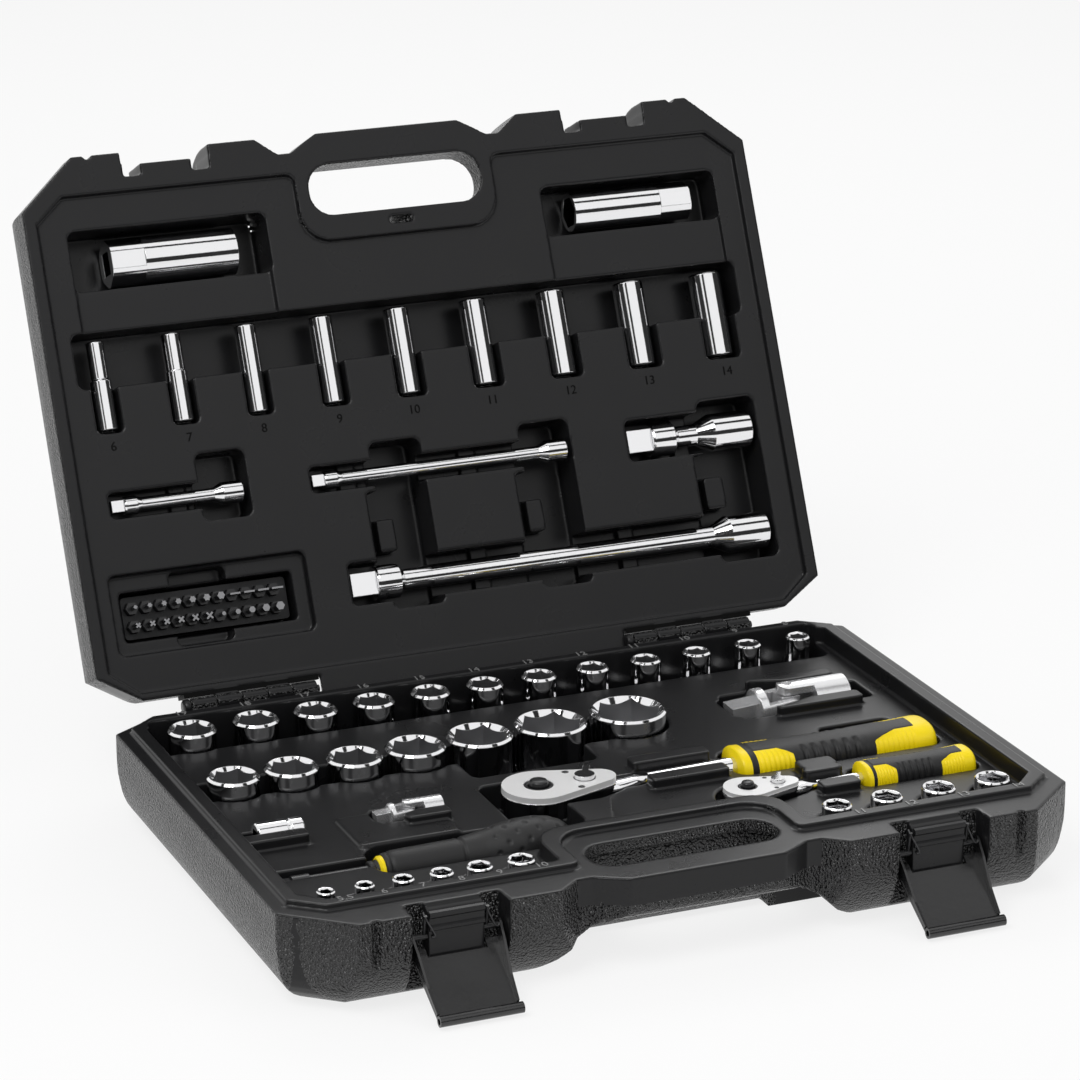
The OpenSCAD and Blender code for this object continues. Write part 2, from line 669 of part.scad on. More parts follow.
// Low blocks that stand in the finger channels
module lid_blocks() {
    for (b = [[-39.5, 68, -29, 86], [50, 68, 60, 86], [160, 69, 172, 87]])
        prism(round_rect(b[0], b[1], b[2], b[3], 1.5), base_h + 14, base_h + 30);
}

module keeper_steps() {
    step_z = base_h - pivot_d + lever_len - roll_r - 0.6;
    for (s = [-1, 1])
        prism(round_rect(s * latch_x - recess_half, -hd - 5, s * latch_x + recess_half,
                         -hd + recess_d + 3, 1, 2), step_z, lid_top + 1);
}

module lid_solid() {
    difference() {
        union() {
            difference() {
                union() {
                    translate([0, 0, base_h + seam]) scale([1, 1, -1]) half_form(lid_h, lid_edge_r);
                    knuckles(1, 1);
                    back_strip();
                }
                prism(lip_points(lip_gap), base_h - 1, base_h + recess_h);
                lid_pockets();
            }
            lid_blocks();
            bar_rests(ext_long_at, ext_a_r, bar_a_r, [20, 110]);
            bar_rests(ext_short_at, ext_a_r, bar_a_r, [153]);
            bar_rests(ext_slim_at, ext_b_r, bar_b_r, [-52, 20]);
            bar_rests(ext_stub_at, ext_b_r, bar_b_r, [-150]);
        }
        handle_shoulders(base_h - 1, lid_top + 1);
        finger_slot(lid_h + seam, 1);
        prism(round_rect(-7, lip_y0 + 28.7, 7, lip_y0 + 32.7, 1.9), base_h - 1, lid_top + 1);
        keeper_steps();
        for (s = [-1, 1]) {
            latch_recess(s, base_h - 1, lid_top + 1);
            wall_groove(s, lid_h, -1);
        }
    }
}

module lid_shell() {
    color([0.11, 0.11, 0.12]) opened() lid_solid();
}

// ---- Latches ----

// The lever in its shut place about its pivot: a tapering pan with its plate towards -Y, lip at the top
module lever_shape() {
    heel_r = 3.3;
    taper = atan((lever_half - lever_tip_half) / lever_len);
    flange = concat([[-lever_off - sheet_t, 6]], arc([0, 0], heel_r, 200, 360, 6),
        [[1.8, 10], [-lever_off + 2.4, lever_len * 0.6], [-lever_off + 1.6, lever_len - 4],
         [-lever_off - sheet_t, lever_len - 4]]);
    difference() {
        union() {
            translate([0, -lever_off, 0]) rotate([90, 0, 0]) linear_extrude(sheet_t)
                polygon([[-lever_half, 3.5], [lever_half, 3.5], [lever_tip_half, lever_len],
                         [-lever_tip_half, lever_len]]);
            for (m = [0, 1]) mirror([m, 0, 0]) translate([lever_half, 0, 0]) rotate([0, -taper, 0])
                translate([-sheet_t, 0, 0]) rotate([90, 0, 90]) linear_extrude(sheet_t) polygon(flange);
            translate([-lever_tip_half - 0.6, -lever_off + roll_r - sheet_t, lever_len])
                rotate([0, 90, 0]) cylinder(r = roll_r, h = 2 * lever_tip_half + 1.2, $fn = 32);
        }
        translate([-lever_half - 1, 0, 0]) rotate([0, 90, 0])
            cylinder(r = latch_pin_d / 2 + pin_gap, h = 2 * lever_half + 2, $fn = 48);
        translate([-block_half - 1, -lever_off - 2 * sheet_t, 0]) cube([2 * block_half + 2, 4 * sheet_t, 9]);
        translate([-lever_half - 1, -lever_off + roll_r - sheet_t, lever_len])
            rotate([0, 90, 0]) cylinder(r = roll_r - sheet_t, h = 2 * lever_half + 2, $fn = 32);
    }
}

module latch_lever(s) {
    color([0.07, 0.07, 0.08]) translate([s * latch_x, -hd + recess_d + 2.5, base_h - pivot_d])
        rotate([lever_swing, 0, 0]) lever_shape();
}

// Pivot wire of each latch with its two spring legs
module latch_springs() {
    leg_r = 0.9;
    color("silver") for (s = [-1, 1])
        translate([s * latch_x, -hd + recess_d + 2.5, base_h - pivot_d]) {
            translate([-lever_half - 0.8, 0, 0]) rotate([0, 90, 0])
                cylinder(r = latch_pin_d / 2, h = 2 * lever_half + 1.6, $fn = 48);
            for (k = [-1, 1])
                translate([k * (block_half + 1.6), 0, 0]) rotate([12, 0, 0])
                    cylinder(r = leg_r, h = 12, $fn = 32);
        }
}

// ---- Sockets, standing with the mouth up, floor at z = 0 ----

module socket_solid(size, d, drive_d, len, sq) {
    foot_d = max(d, drive_d);
    mouth_len = len * 0.42;
    hex_d = len * 0.45;
    ch = min(1.2, d * 0.06);
    profile = foot_d > d
        ? [[0, 0], [foot_d / 2 - ch, 0], [foot_d / 2, ch], [foot_d / 2, len - mouth_len - (foot_d - d) / 2],
           [d / 2, len - mouth_len], [d / 2, len - ch], [d / 2 - ch, len], [0, len]]
        : [[0, 0], [foot_d / 2 - ch, 0], [foot_d / 2, ch], [foot_d / 2, len - ch],
           [foot_d / 2 - ch, len], [0, len]];
    difference() {
        rotate_extrude($fn = 64) polygon(profile);
        translate([0, 0, len - hex_d]) cylinder(r = size / sqrt(3), h = hex_d + 1, $fn = 6);
        translate([0, 0, len - size * 0.12])
            cylinder(r1 = size * 0.48, r2 = size / sqrt(3) + 0.8, h = size * 0.12 + tiny, $fn = 48);
        translate([0, 0, len * 0.3]) cylinder(r = min(size * 0.48, sq * 0.48), h = len * 0.4, $fn = 48);
        translate([-sq / 2, -sq / 2, -1]) cube([sq, sq, len * 0.38 + 1]);
    }
}

module half_socket(size) {
    back = search(size, [for (s = ROW_BACK) s[0]]);
    mid = search(size, [for (s = ROW_MID) s[0]]);
    d = half_d(size);
    foot = max(d, half_drive_d);
    len = half_socket_len(size);
    x = len(back) > 0 ? ROW_BACK[back[0]][1] : ROW_MID[mid[0]][1];
    y = len(back) > 0 ? half_back_y - foot / 2 : mid_front_y + d / 2;
    color("gainsboro") translate([x, y, z_mouth - len]) socket_solid(size, d, half_drive_d, len, half_sq);
}

module sockets_quarter_left() {
    color("gainsboro") for (s = ROW_LEFT)
        translate([s[1], left_y, z_quarter - quarter_len])
            socket_solid(s[0], quarter_d(s[0]), quarter_drive_d, quarter_len, quarter_sq);
}

module sockets_quarter_right() {
    color("gainsboro") for (s = ROW_RIGHT)
        translate([s[1], right_front_y + quarter_d(s[0]) / 2, z_quarter - quarter_len])
            socket_solid(s[0], quarter_d(s[0]), quarter_drive_d, quarter_len, quarter_sq);
}

module sockets_deep() {
    color("gainsboro") opened() for (s = ROW_DEEP) {
        d = max(quarter_d(s[0]), quarter_drive_d);
        translate([s[1], deep_y1, base_h + lid_tool_d + d / 2]) rotate([90, 0, 0])
            socket_solid(s[0], quarter_d(s[0]), quarter_drive_d, deep_len, quarter_sq);
    }
}

module plug_socket(size, r, at, flip) {
    hex_len = 19;
    color("gainsboro") opened() translate([at[0] + (flip ? plug_len : 0), at[1], base_h + lid_tool_d + r])
        rotate([0, flip ? -90 : 90, 0]) difference() {
            union() {
                translate([0, 0, hex_len]) cylinder(r = r, h = plug_len - hex_len, $fn = 64);
                translate([0, 0, hex_len - 3]) cylinder(r = r * 0.9, h = 6, $fn = 64);
                intersection() {
                    cylinder(r = r, h = hex_len, $fn = 64);
                    rotate([0, 0, 30]) cylinder(r = r * 1.08, h = hex_len, $fn = 6);
                }
            }
            translate([0, 0, plug_len - 40]) cylinder(r = size / sqrt(3), h = 41, $fn = 6);
            translate([-half_sq / 2, -half_sq / 2, -1]) cube([half_sq, half_sq, 20]);
            translate([0, 0, 15]) cylinder(r = 6, h = 30, $fn = 48);
        }
}

// ---- Extensions, lying along X with the female end at +X ----

module extension(at, len, head_r, bar_r, sq, head_len, depth) {
    neck = head_len * 0.4;
    male = sq * 1.25;
    collar = sq * 0.72;
    color("gainsboro") opened() translate([at[0] - len, at[1], base_h + lid_tool_d + head_r]) rotate([0, 90, 0])
        difference() {
            union() {
                rotate_extrude($fn = 64) polygon([[0, male - 1], [collar, male - 1], [collar + 0.6, male],
                    [collar + 0.6, male + sq], [bar_r, male + sq + 3], [bar_r, len - head_len - neck],
                    [head_r, len - head_len], [head_r, len - 1], [head_r - 1, len], [0, len]]);
                translate([-sq / 2, -sq / 2, 0]) cube([sq, sq, male]);
            }
            translate([-sq / 2 - 0.1, -sq / 2 - 0.1, len - depth]) cube([sq + 0.2, sq + 0.2, depth + 1]);
        }
}

// ---- Ratchets ----

// at: middle of the head; all sizes follow the head's radius hr and its height hh
module ratchet_body(at, hr, hh, neck_r, grip_x, sq) {
    tail_r = hr * 0.46;
    tail_x = hr * 1.75;
    tang_r = neck_r * 0.75;
    cover_t = hh * 0.16;
    color("gainsboro") difference() {
        union() {
            translate([at[0], at[1], head_top - hh])
                linear_extrude(hh - cover_t) polygon(teardrop(hr, tail_r, tail_x));
            translate([at[0] + tail_x, at[1], at[2]]) rotate([0, 90, 0]) {
                cylinder(r1 = head_top - cover_t - at[2] - 0.4, r2 = neck_r * 0.85,
                         h = (grip_x - at[0] - tail_x) * 0.3, $fn = 48);
                translate([0, 0, (grip_x - at[0] - tail_x) * 0.3 - tiny])
                    cylinder(r1 = neck_r * 0.85, r2 = neck_r, h = (grip_x - at[0] - tail_x) * 0.7, $fn = 48);
                cylinder(r = tang_r, h = grip_x - at[0] - tail_x + hr * 1.6, $fn = 48);
            }
        }
        // gear chamber and the drive's way out
        translate([at[0], at[1], head_top - hh + hh * 0.22])
            cylinder(r = hr * 0.72, h = hh, $fn = 48);
        translate([at[0], at[1], head_top - hh - 1]) cylinder(r = sq * 0.75, h = hh, $fn = 48);
        // selector chamber
        translate([at[0] + hr * 1.32, at[1], head_top - hh + hh * 0.22])
            cylinder(r = hr * 0.3, h = hh, $fn = 48);
    }
}

module ratchet_cover(at, hr, hh) {
    cover_t = hh * 0.16;
    edge = 0.3;
    color("whitesmoke") difference() {
        translate([at[0], at[1], head_top - cover_t])
            linear_extrude(cover_t) polygon(teardrop(hr - edge, hr * 0.46 - edge, hr * 1.75));
        translate([at[0], at[1], head_top - hh]) cylinder(r = hr * 0.4, h = 2 * hh, $fn = 48);
        translate([at[0] + hr * 1.32, at[1], head_top - hh]) cylinder(r = hr * 0.3, h = 2 * hh, $fn = 48);
        for (s = [-1, 1])
            translate([at[0] + hr, at[1] + s * hr * 0.56, head_top - hh])
                cylinder(r = hr * 0.1, h = 2 * hh, $fn = 32);
    }
}

module ratchet_drive(at, hr, hh, sq, out) {
    teeth = 24;
    gear_r = hr * 0.66;
    tooth = hr * 0.05;
    gear = [for (i = [0:teeth - 1], k = [0:1]) let (a = 360 * (i + k * 0.5) / teeth, r = gear_r - k * tooth)
            [r * cos(a), r * sin(a)]];
    color("silver") translate([at[0], at[1], head_top - hh]) difference() {
        union() {
            translate([0, 0, hh * 0.22 + 0.3]) linear_extrude(hh * 0.5) polygon(gear);
            translate([0, 0, -0.5]) cylinder(r = sq * 0.7, h = hh * 0.3, $fn = 48);
            translate([-sq / 2, -sq / 2, -out]) cube([sq, sq, out]);
        }
        translate([0, 0, hh * 0.4]) cylinder(r = hr * 0.3, h = hh, $fn = 48);
    }
}

module ratchet_button(at, hr, hh) {
    color("dimgray") translate([at[0], at[1], head_top - hh * 0.35]) rotate_extrude($fn = 48)
        polygon([[0, 0], [hr * 0.27, 0], [hr * 0.27, hh * 0.35 + 2.2], [hr * 0.27 - 0.8, hh * 0.35 + 3], [0, hh * 0.35 + 3]]);
}

module ratchet_selector(at, hr, hh) {
    color("silver") translate([at[0] + hr * 1.32, at[1], head_top]) {
        translate([0, 0, -hh * 0.5]) cylinder(r = hr * 0.27, h = hh * 0.5 + 2.2, $fn = 48);
        rotate([0, 0, 62]) translate([0, -hr * 0.09, 0.4]) cube([hr * 0.62, hr * 0.18, 1.8]);
    }
}

// Whole grip: an oval bar with a waist and round ends, along +X from x = 0
module grip_form(len, ry, rz) {
    waist = 0.09;
    n = 12;
    side = function (r, end) [for (i = [0:n]) let (t = i / n)
        [len * t, r * (1 - waist * sin(180 * t)) - (t > 0.99 ? end : (t < 0.01 ? end * 0.4 : 0))]];
    flat = side(ry, 2.5);
    tall = side(rz, 2);
    intersection() {
        translate([0, 0, 0]) along_x() linear_extrude(len) polygon(full_oval(ry, rz));
        translate([0, 0, -rz - 1]) linear_extrude(2 * rz + 2)
            polygon(concat(flat, [for (i = [n:-1:0]) [flat[i][0], -flat[i][1]]]));
        translate([0, ry + 1, 0]) rotate([90, 0, 0]) linear_extrude(2 * ry + 2)
            polygon(concat(tall, [for (i = [n:-1:0]) [tall[i][0], -tall[i][1]]]));
    }
}

// Where the coloured inlay lies: front ring, side panels and tail
module inlay_zone(len, ry, rz) {
    a = len * 0.045;
    b = len * 0.07;
    c = len * 0.2;
    d = len * 0.68;
    e = len * 0.89;
    translate([-1, -ry - 2, -rz - 2]) cube([a + 1, 2 * ry + 4, 2 * rz + 4]);
    for (s = [-1, 1]) translate([0, s > 0 ? ry * 0.42 : -ry - 2, -rz - 2]) {
        translate([b, 0, 0]) cube([c - b, ry * 0.58 + 2, 2 * rz + 4]);
        translate([d, 0, 0]) cube([len - d + 1, ry * 0.58 + 2, 2 * rz + 4]);
    }
    translate([e, -ry - 2, -rz - 2]) cube([len - e + 1, 2 * ry + 4, 2 * rz + 4]);
}

module grip_ribs(len, ry, rz) {
    n = 10;
    for (s = [-1, 1], i = [0:n - 1])
        translate([len * (0.25 + 0.4 * i / (n - 1)), s > 0 ? ry * 0.72 : -ry, -rz * 0.55])
            cube([len * 0.014, ry * 0.28, rz * 1.1]);
}

module ratchet_grip(at, grip_x, len, ry, rz, tang_r, tang_len) {
    color([0.12, 0.12, 0.12]) translate([grip_x, at[1], at[2]]) difference() {
        grip_form(len, ry, rz);
        inlay_zone(len, ry, rz);
        grip_ribs(len, ry, rz);
        translate([-1, 0, 0]) rotate([0, 90, 0]) cylinder(r = tang_r, h = tang_len, $fn = 48);
    }
}

module ratchet_inlay(at, grip_x, len, ry, rz, tang_r) {
    color("gold") translate([grip_x, at[1], at[2]]) difference() {
        intersection() {
            grip_form(len, ry, rz);
            inlay_zone(len, ry, rz);
        }
        translate([-1, 0, 0]) rotate([0, 90, 0]) cylinder(r = tang_r, h = len * 0.3, $fn = 48);
    }
}

// ---- Spinner handle, lying along X with the drive at -X ----

module spinner_shaft() {
    r = 4;
    color("gainsboro") translate([spin_at[0] - spinner_len, spin_at[1], spin_at[2]]) {
        translate([9, 0, 0]) rotate([0, 90, 0])
            cylinder(r = r, h = spinner_len - spinner_grip_len + spinner_tang - 9, $fn = 48);
        translate([0, -quarter_sq / 2, -quarter_sq / 2]) cube([10, quarter_sq, quarter_sq]);
        translate([9, 0, 0]) rotate([0, 90, 0]) cylinder(r = 5, h = 9, $fn = 48);
    }
}

module spinner_ferrule() {
    color("gold") translate([spin_at[0] - spinner_grip_len - ferrule_len, spin_at[1], spin_at[2]])
        rotate([0, 90, 0]) difference() {
        rotate_extrude($fn = 64) polygon([[0, 0], [6.8, 0], [7.8, 1], [7.8, ferrule_len], [0, ferrule_len]]);
        translate([0, 0, -1]) cylinder(r = 4.3, h = ferrule_len + 3, $fn = 48);
    }
}

module spinner_grip() {
    e = spinner_grip_len - 101;
    color([0.13, 0.13, 0.13]) translate([spin_at[0] - spinner_grip_len, spin_at[1], spin_at[2]]) rotate([0, 90, 0])
        difference() {
            rotate_extrude($fn = 64) polygon(concat([[0, 0.3], [8.4, 0.3], [9.6, 2], [9.9, 20], [10.2, 38],
                [10.6, 40]], arc([15.5 - 60, 74 + e], 60, -27, 0, 6), arc([15.5 - 22, 79 + e], 22, 0, 34, 4),
                arc([15.5 - 10.4, 92.2 + e], 8.4, 34, 80, 3), [[0, 100.9 + e]]));
            translate([0, 0, -1]) cylinder(r = 4.3, h = spinner_tang + 2, $fn = 48);
        }
}

// ---- Universal joints, lying along X with the square socket at +X ----

// Two ears across the axis at distance 0.56 r, reaching from x0 to x1
module fork_ears(x0, x1, r) {
    ear = r * 0.47;
    intersection() {
        translate([x0, 0, 0]) rotate([0, 90, 0]) cylinder(r = r, h = x1 - x0, $fn = 64);
        for (s = [-1, 1]) translate([0, 0, s > 0 ? r * 0.56 : -r]) {
            translate([x1 > r ? 0 : x0, -ear, 0]) cube([x1 > r ? x1 : -x0, 2 * ear, r * 0.44]);
            cylinder(r = ear, h = r * 0.44, $fn = 48);
        }
    }
}

module fork_bore(r) {
    translate([0, 0, -r - 1]) cylinder(r = r * 0.22 + pin_gap, h = 2 * r + 2, $fn = 48);
}

module socket_fork(at, len, r, sq) {
    start = r * 1.18;
    color("gainsboro") translate(at) difference() {
        union() {
            translate([start, 0, 0]) rotate([0, 90, 0]) cylinder(r = r, h = len / 2 - start, $fn = 64);
            fork_ears(-r / 2, start + 1, r);
        }
        fork_bore(r);
        translate([len / 2 - sq * 1.2, -sq / 2 - 0.1, -sq / 2 - 0.1]) cube([sq * 1.3, sq + 0.2, sq + 0.2]);
    }
}

// The end that carries the male square hangs down by uj_droop
module drive_fork(at, len, r, sq) {
    start = r * 1.18;
    color("gainsboro") translate(at) rotate([0, -uj_droop, 0]) difference() {
        union() {
            translate([-len / 2 + sq * 1.2, 0, 0]) rotate([0, 90, 0]) {
                cylinder(r1 = r - 0.8, r2 = r, h = 0.8 + tiny, $fn = 64);
                translate([0, 0, 0.8]) cylinder(r = r, h = len / 2 - sq * 1.2 - 0.8 - start, $fn = 64);
            }
            translate([-len / 2, -sq / 2, -sq / 2]) cube([sq * 1.3, sq, sq]);
            rotate([90, 0, 0]) fork_ears(-start - 1, r / 2, r);
        }
        rotate([90, 0, 0]) fork_bore(r);
    }
}

module joint_cross(at, r) {
    pin_len = r * 0.9;
    core = r * 0.5;
    color("silver") translate(at) {
        translate([-core * 0.9, -core, -core]) cube([core * 1.8, 2 * core, 2 * core]);
        translate([0, 0, -pin_len]) cylinder(r = r * 0.22, h = 2 * pin_len, $fn = 48);
        translate([0, -pin_len, 0]) rotate([-90, 0, 0]) cylinder(r = r * 0.22, h = 2 * pin_len, $fn = 48);
    }
}

// ---- Bits ----

module bit_adapter() {
    color("gainsboro") translate(adapter_at) rotate([0, 90, 0]) difference() {
        rotate_extrude($fn = 64) polygon([[0, 0], [adapter_r - 0.8, 0], [adapter_r, 0.8],
            [adapter_r, adapter_len - 9], [adapter_r - 0.7, adapter_len - 8.5],
            [adapter_r - 0.7, adapter_len - 7], [adapter_r, adapter_len - 6.5],
            [adapter_r, adapter_len - 0.8], [adapter_r - 0.8, adapter_len], [0, adapter_len]]);
        translate([0, 0, adapter_len - 12]) cylinder(r = quarter_sq / sqrt(3), h = 13, $fn = 6);
        translate([-quarter_sq / 2, -quarter_sq / 2, -1]) cube([quarter_sq, quarter_sq, 10]);
    }
}

function bit_r() = quarter_sq / sqrt(3) * 0.98;

module bit_rack() {
    z0 = base_h + rack_d;
    color([0.1, 0.1, 0.1]) opened() difference() {
        prism(round_rect(rack_at[0], rack_at[1], rack_at[0] + rack_size[0], rack_at[1] + rack_size[1], 2),
              z0, z0 + 15.6);
        for (y = bit_rows, i = [0:bit_n - 1])
            translate([bit_x0 + i * bit_pitch, y, z0 - 1]) cylinder(r = bit_r() + seat_gap, h = 15, $fn = 6);
    }
}

// Tip i of a row: star, slotted, cross or hexagon
module bit_tip(row, i, h) {
    if (row == 0 && i < 7)
        linear_extrude(h) polygon([for (k = [0:11]) let (r = (k % 2 == 0 ? 1.3 : 0.8) + 0.16 * i)
            [r * cos(30 * k), r * sin(30 * k)]]);
    else if (row == 0)
        translate([-2.2 - 0.2 * i / 2, -0.5, 0]) cube([4.4 + 0.2 * i, 1, h]);
    else if (i < 6)
        for (a = [45, 135]) rotate([0, 0, a]) translate([-1.6 - 0.15 * i, -0.5, 0]) cube([3.2 + 0.3 * i, 1, h]);
    else
        cylinder(r = 1.2 + 0.32 * (i - 6), h = h, $fn = 6);
}

module bits() {
    shank = bit_len - 7;
    color("silver") opened() for (row = [0, 1], i = [0:bit_n - 1])
        translate([bit_x0 + i * bit_pitch, bit_rows[row], base_h + rack_d + 14 - seat_gap]) scale([1, 1, -1]) {
            cylinder(r = bit_r(), h = shank, $fn = 6);
            translate([0, 0, shank - tiny]) bit_tip(row, i, 7);
        }
}

// ---- Nodes ----

base_shell();
lid_shell();
hinge_pins();
latch_lever(-1);  // latch_lever_left
latch_lever(1);  // latch_lever_right
latch_springs();
ratchet_body(rat_a, head_a_r, head_a_h, neck_a_r, grip_a_x, half_sq);  // ratchet_half_body
ratchet_cover(rat_a, head_a_r, head_a_h);  // ratchet_half_cover
ratchet_button(rat_a, head_a_r, head_a_h);  // ratchet_half_button
ratchet_selector(rat_a, head_a_r, head_a_h);  // ratchet_half_lever
ratchet_drive(rat_a, head_a_r, head_a_h, half_sq, drive_a_len);  // ratchet_half_drive
ratchet_grip(rat_a, grip_a_x, grip_a_len, grip_a_ry, grip_a_rz, neck_a_r * 0.75 + seat_gap, 34);  // ratchet_half_grip
ratchet_inlay(rat_a, grip_a_x, grip_a_len, grip_a_ry, grip_a_rz, neck_a_r * 0.75 + seat_gap);  // ratchet_half_grip_inlay
ratchet_body(rat_b, head_b_r, head_b_h, neck_b_r, grip_b_x, quarter_sq);  // ratchet_quarter_body
ratchet_cover(rat_b, head_b_r, head_b_h);  // ratchet_quarter_cover
ratchet_button(rat_b, head_b_r, head_b_h);  // ratchet_quarter_button
ratchet_selector(rat_b, head_b_r, head_b_h);  // ratchet_quarter_lever
ratchet_drive(rat_b, head_b_r, head_b_h, quarter_sq, drive_b_len);  // ratchet_quarter_drive
ratchet_grip(rat_b, grip_b_x, grip_b_len, grip_b_ry, grip_b_rz, neck_b_r * 0.75 + seat_gap, 23);  // ratchet_quarter_grip
ratchet_inlay(rat_b, grip_b_x, grip_b_len, grip_b_ry, grip_b_rz, neck_b_r * 0.75 + seat_gap);  // ratchet_quarter_grip_inlay
spinner_shaft();
spinner_ferrule();
spinner_grip();
socket_fork(uj_a, uj_a_len, uj_a_r, half_sq);  // joint_half_socket_fork
joint_cross(uj_a, uj_a_r);  // joint_half_cross
drive_fork(uj_a, uj_a_len, uj_a_r, half_sq);  // joint_half_drive_fork
socket_fork(uj_b, uj_b_len, uj_b_r, quarter_sq);  // joint_quarter_socket_fork
joint_cross(uj_b, uj_b_r);  // joint_quarter_cross
drive_fork(uj_b, uj_b_len, uj_b_r, quarter_sq);  // joint_quarter_drive_fork
extension(ext_long_at, ext_long_len, ext_a_r, bar_a_r, half_sq, 24, 15);  // extension_half_long
extension(ext_short_at, ext_short_len, ext_a_r, bar_a_r, half_sq, 24, 15);  // extension_half_short
extension(ext_slim_at, ext_slim_len, ext_b_r, bar_b_r, quarter_sq, 12, 8);  // extension_quarter_long
extension(ext_stub_at, ext_stub_len, ext_b_r, bar_b_r, quarter_sq, 12, 8);  // extension_quarter_short
bit_adapter();
bit_rack();
bits();
for (s = concat(ROW_BACK, ROW_MID))
    half_socket(s[0]);
sockets_quarter_left();
sockets_quarter_right();
sockets_deep();
plug_socket(21, plug_a_r, plug_a_at, false);  // plug_socket_21
plug_socket(16, plug_b_r, plug_b_at, true);  // plug_socket_16
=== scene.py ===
"""Dresses the socket wrench set in its moulded case.

It makes the finishes, the soft-edged trays, the moulded grips, the size numbers and the studio.
"""

import json
import logging
import math
from dataclasses import dataclass
from enum import Enum

import bpy
import numpy as np
from mathutils import Matrix, Vector
from mathutils.bvhtree import BVHTree

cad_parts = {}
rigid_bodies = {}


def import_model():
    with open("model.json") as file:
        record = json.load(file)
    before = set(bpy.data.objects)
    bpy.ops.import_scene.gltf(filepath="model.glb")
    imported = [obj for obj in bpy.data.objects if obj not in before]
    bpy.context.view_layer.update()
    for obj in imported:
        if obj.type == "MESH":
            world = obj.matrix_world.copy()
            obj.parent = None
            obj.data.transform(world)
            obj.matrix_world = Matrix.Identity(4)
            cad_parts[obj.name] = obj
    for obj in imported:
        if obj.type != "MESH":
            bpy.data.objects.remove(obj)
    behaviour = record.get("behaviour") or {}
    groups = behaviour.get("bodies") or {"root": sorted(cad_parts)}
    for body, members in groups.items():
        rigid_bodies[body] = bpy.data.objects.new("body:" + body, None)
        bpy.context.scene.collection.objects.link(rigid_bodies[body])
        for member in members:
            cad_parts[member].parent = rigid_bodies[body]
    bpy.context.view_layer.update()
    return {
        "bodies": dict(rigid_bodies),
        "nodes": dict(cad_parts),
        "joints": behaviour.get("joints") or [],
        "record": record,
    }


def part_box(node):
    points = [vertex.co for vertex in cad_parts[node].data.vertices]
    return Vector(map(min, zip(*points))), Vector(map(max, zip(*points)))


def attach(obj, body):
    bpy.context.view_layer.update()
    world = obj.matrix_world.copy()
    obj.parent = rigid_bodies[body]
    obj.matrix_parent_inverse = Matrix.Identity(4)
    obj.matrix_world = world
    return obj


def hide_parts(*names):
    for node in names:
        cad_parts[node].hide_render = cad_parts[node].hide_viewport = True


log = logging.getLogger("socket_set")

MM = 0.001
BASE_H = 50 * MM
HINGE_Y = 156 * MM
LID_OPEN = math.radians(115)

# Zones of a ratchet grip, counted from its ring, and how close two angles count as the same.
YELLOW_ENDS = (0, 1, 6, 7)
SADDLES = (3, 5)
WAIST = 4
SAME_ANGLE = 1e-6

# Slopes and depths that tell the inside of a socket and the tip of a bit from the rest.
BORE_LEAN = -0.1
UPRIGHT = 0.5
LEVEL = 0.8
FLOOR_DEPTH = 3 * MM
TIP_FACING = 0.9
TIP_DEPTH = 0.5 * MM


def opened() -> Matrix:
    """Matrix that carries the shut lid's places to the open lid's."""
    pivot = Vector((0, HINGE_Y, BASE_H))
    turn = Matrix.Rotation(-LID_OPEN, 4, "X")
    return Matrix.Translation(pivot) @ turn @ Matrix.Translation(-pivot)


class NodeTree:
    """Short way to add and link the shader nodes of a material or the world."""

    def __init__(self, owner: bpy.types.Material | bpy.types.World) -> None:
        """Empties the owner's tree.

        Args:
            owner: Material or world that the nodes belong to.
        """
        self.owner = owner
        owner.use_nodes = True
        self.nodes = owner.node_tree.nodes
        self.links = owner.node_tree.links
        self.nodes.clear()

    def add(self, kind: str, **values: object) -> bpy.types.Node:
        """Adds a node and sets its properties and inputs.

        Args:
            kind: Type of the node, without its ShaderNode prefix.
            **values: Properties by name, and inputs by name with _ for a space.

        Returns:
            The new node.
        """
        node = self.nodes.new("ShaderNode" + kind)
        for key, value in values.items():
            if hasattr(node, key):
                setattr(node, key, value)
            else:
                node.inputs[key.replace("_", " ")].default_value = value
        return node

    def link(self, source: bpy.types.NodeSocket, target: bpy.types.NodeSocket) -> None:
        """Links an output to an input."""
        self.links.new(source, target)

    def calculate(self, kind: str, *values: bpy.types.NodeSocket | float) -> bpy.types.NodeSocket:
        """Adds a calculation.

        Args:
            kind: Operation of the node.
            *values: Outputs to link, or plain numbers, in the order of the inputs.

        Returns:
            The output with the result.
        """
        node = self.add("Math", operation=kind)
        for socket, value in zip(node.inputs, values):
            if isinstance(value, bpy.types.NodeSocket):
                self.link(value, socket)
            else:
                socket.default_value = value
        return node.outputs[0]

    def seen_white(self) -> bpy.types.NodeSocket:
        """One for camera, glossy and transmission rays, else zero."""
        path = self.add("LightPath").outputs
        direct = self.calculate("MAXIMUM", path["Is Camera Ray"], path["Is Glossy Ray"])
        return self.calculate("MAXIMUM", direct, path["Is Transmission Ray"])

    def close(self, shader: bpy.types.Node) -> None:
        """Ends the tree with a shader as the surface."""
        kind = "World" if isinstance(self.owner, bpy.types.World) else "Material"
        out = self.add("Output" + kind)
        self.link(shader.outputs[0], out.inputs["Surface"])


def blend(shade: tuple[float, float, float], gain: float) -> tuple[float, float, float, float]:
    """Colour made lighter or darker by a factor, with full alpha."""
    return (shade[0] * gain, shade[1] * gain, shade[2] * gain, 1.0)


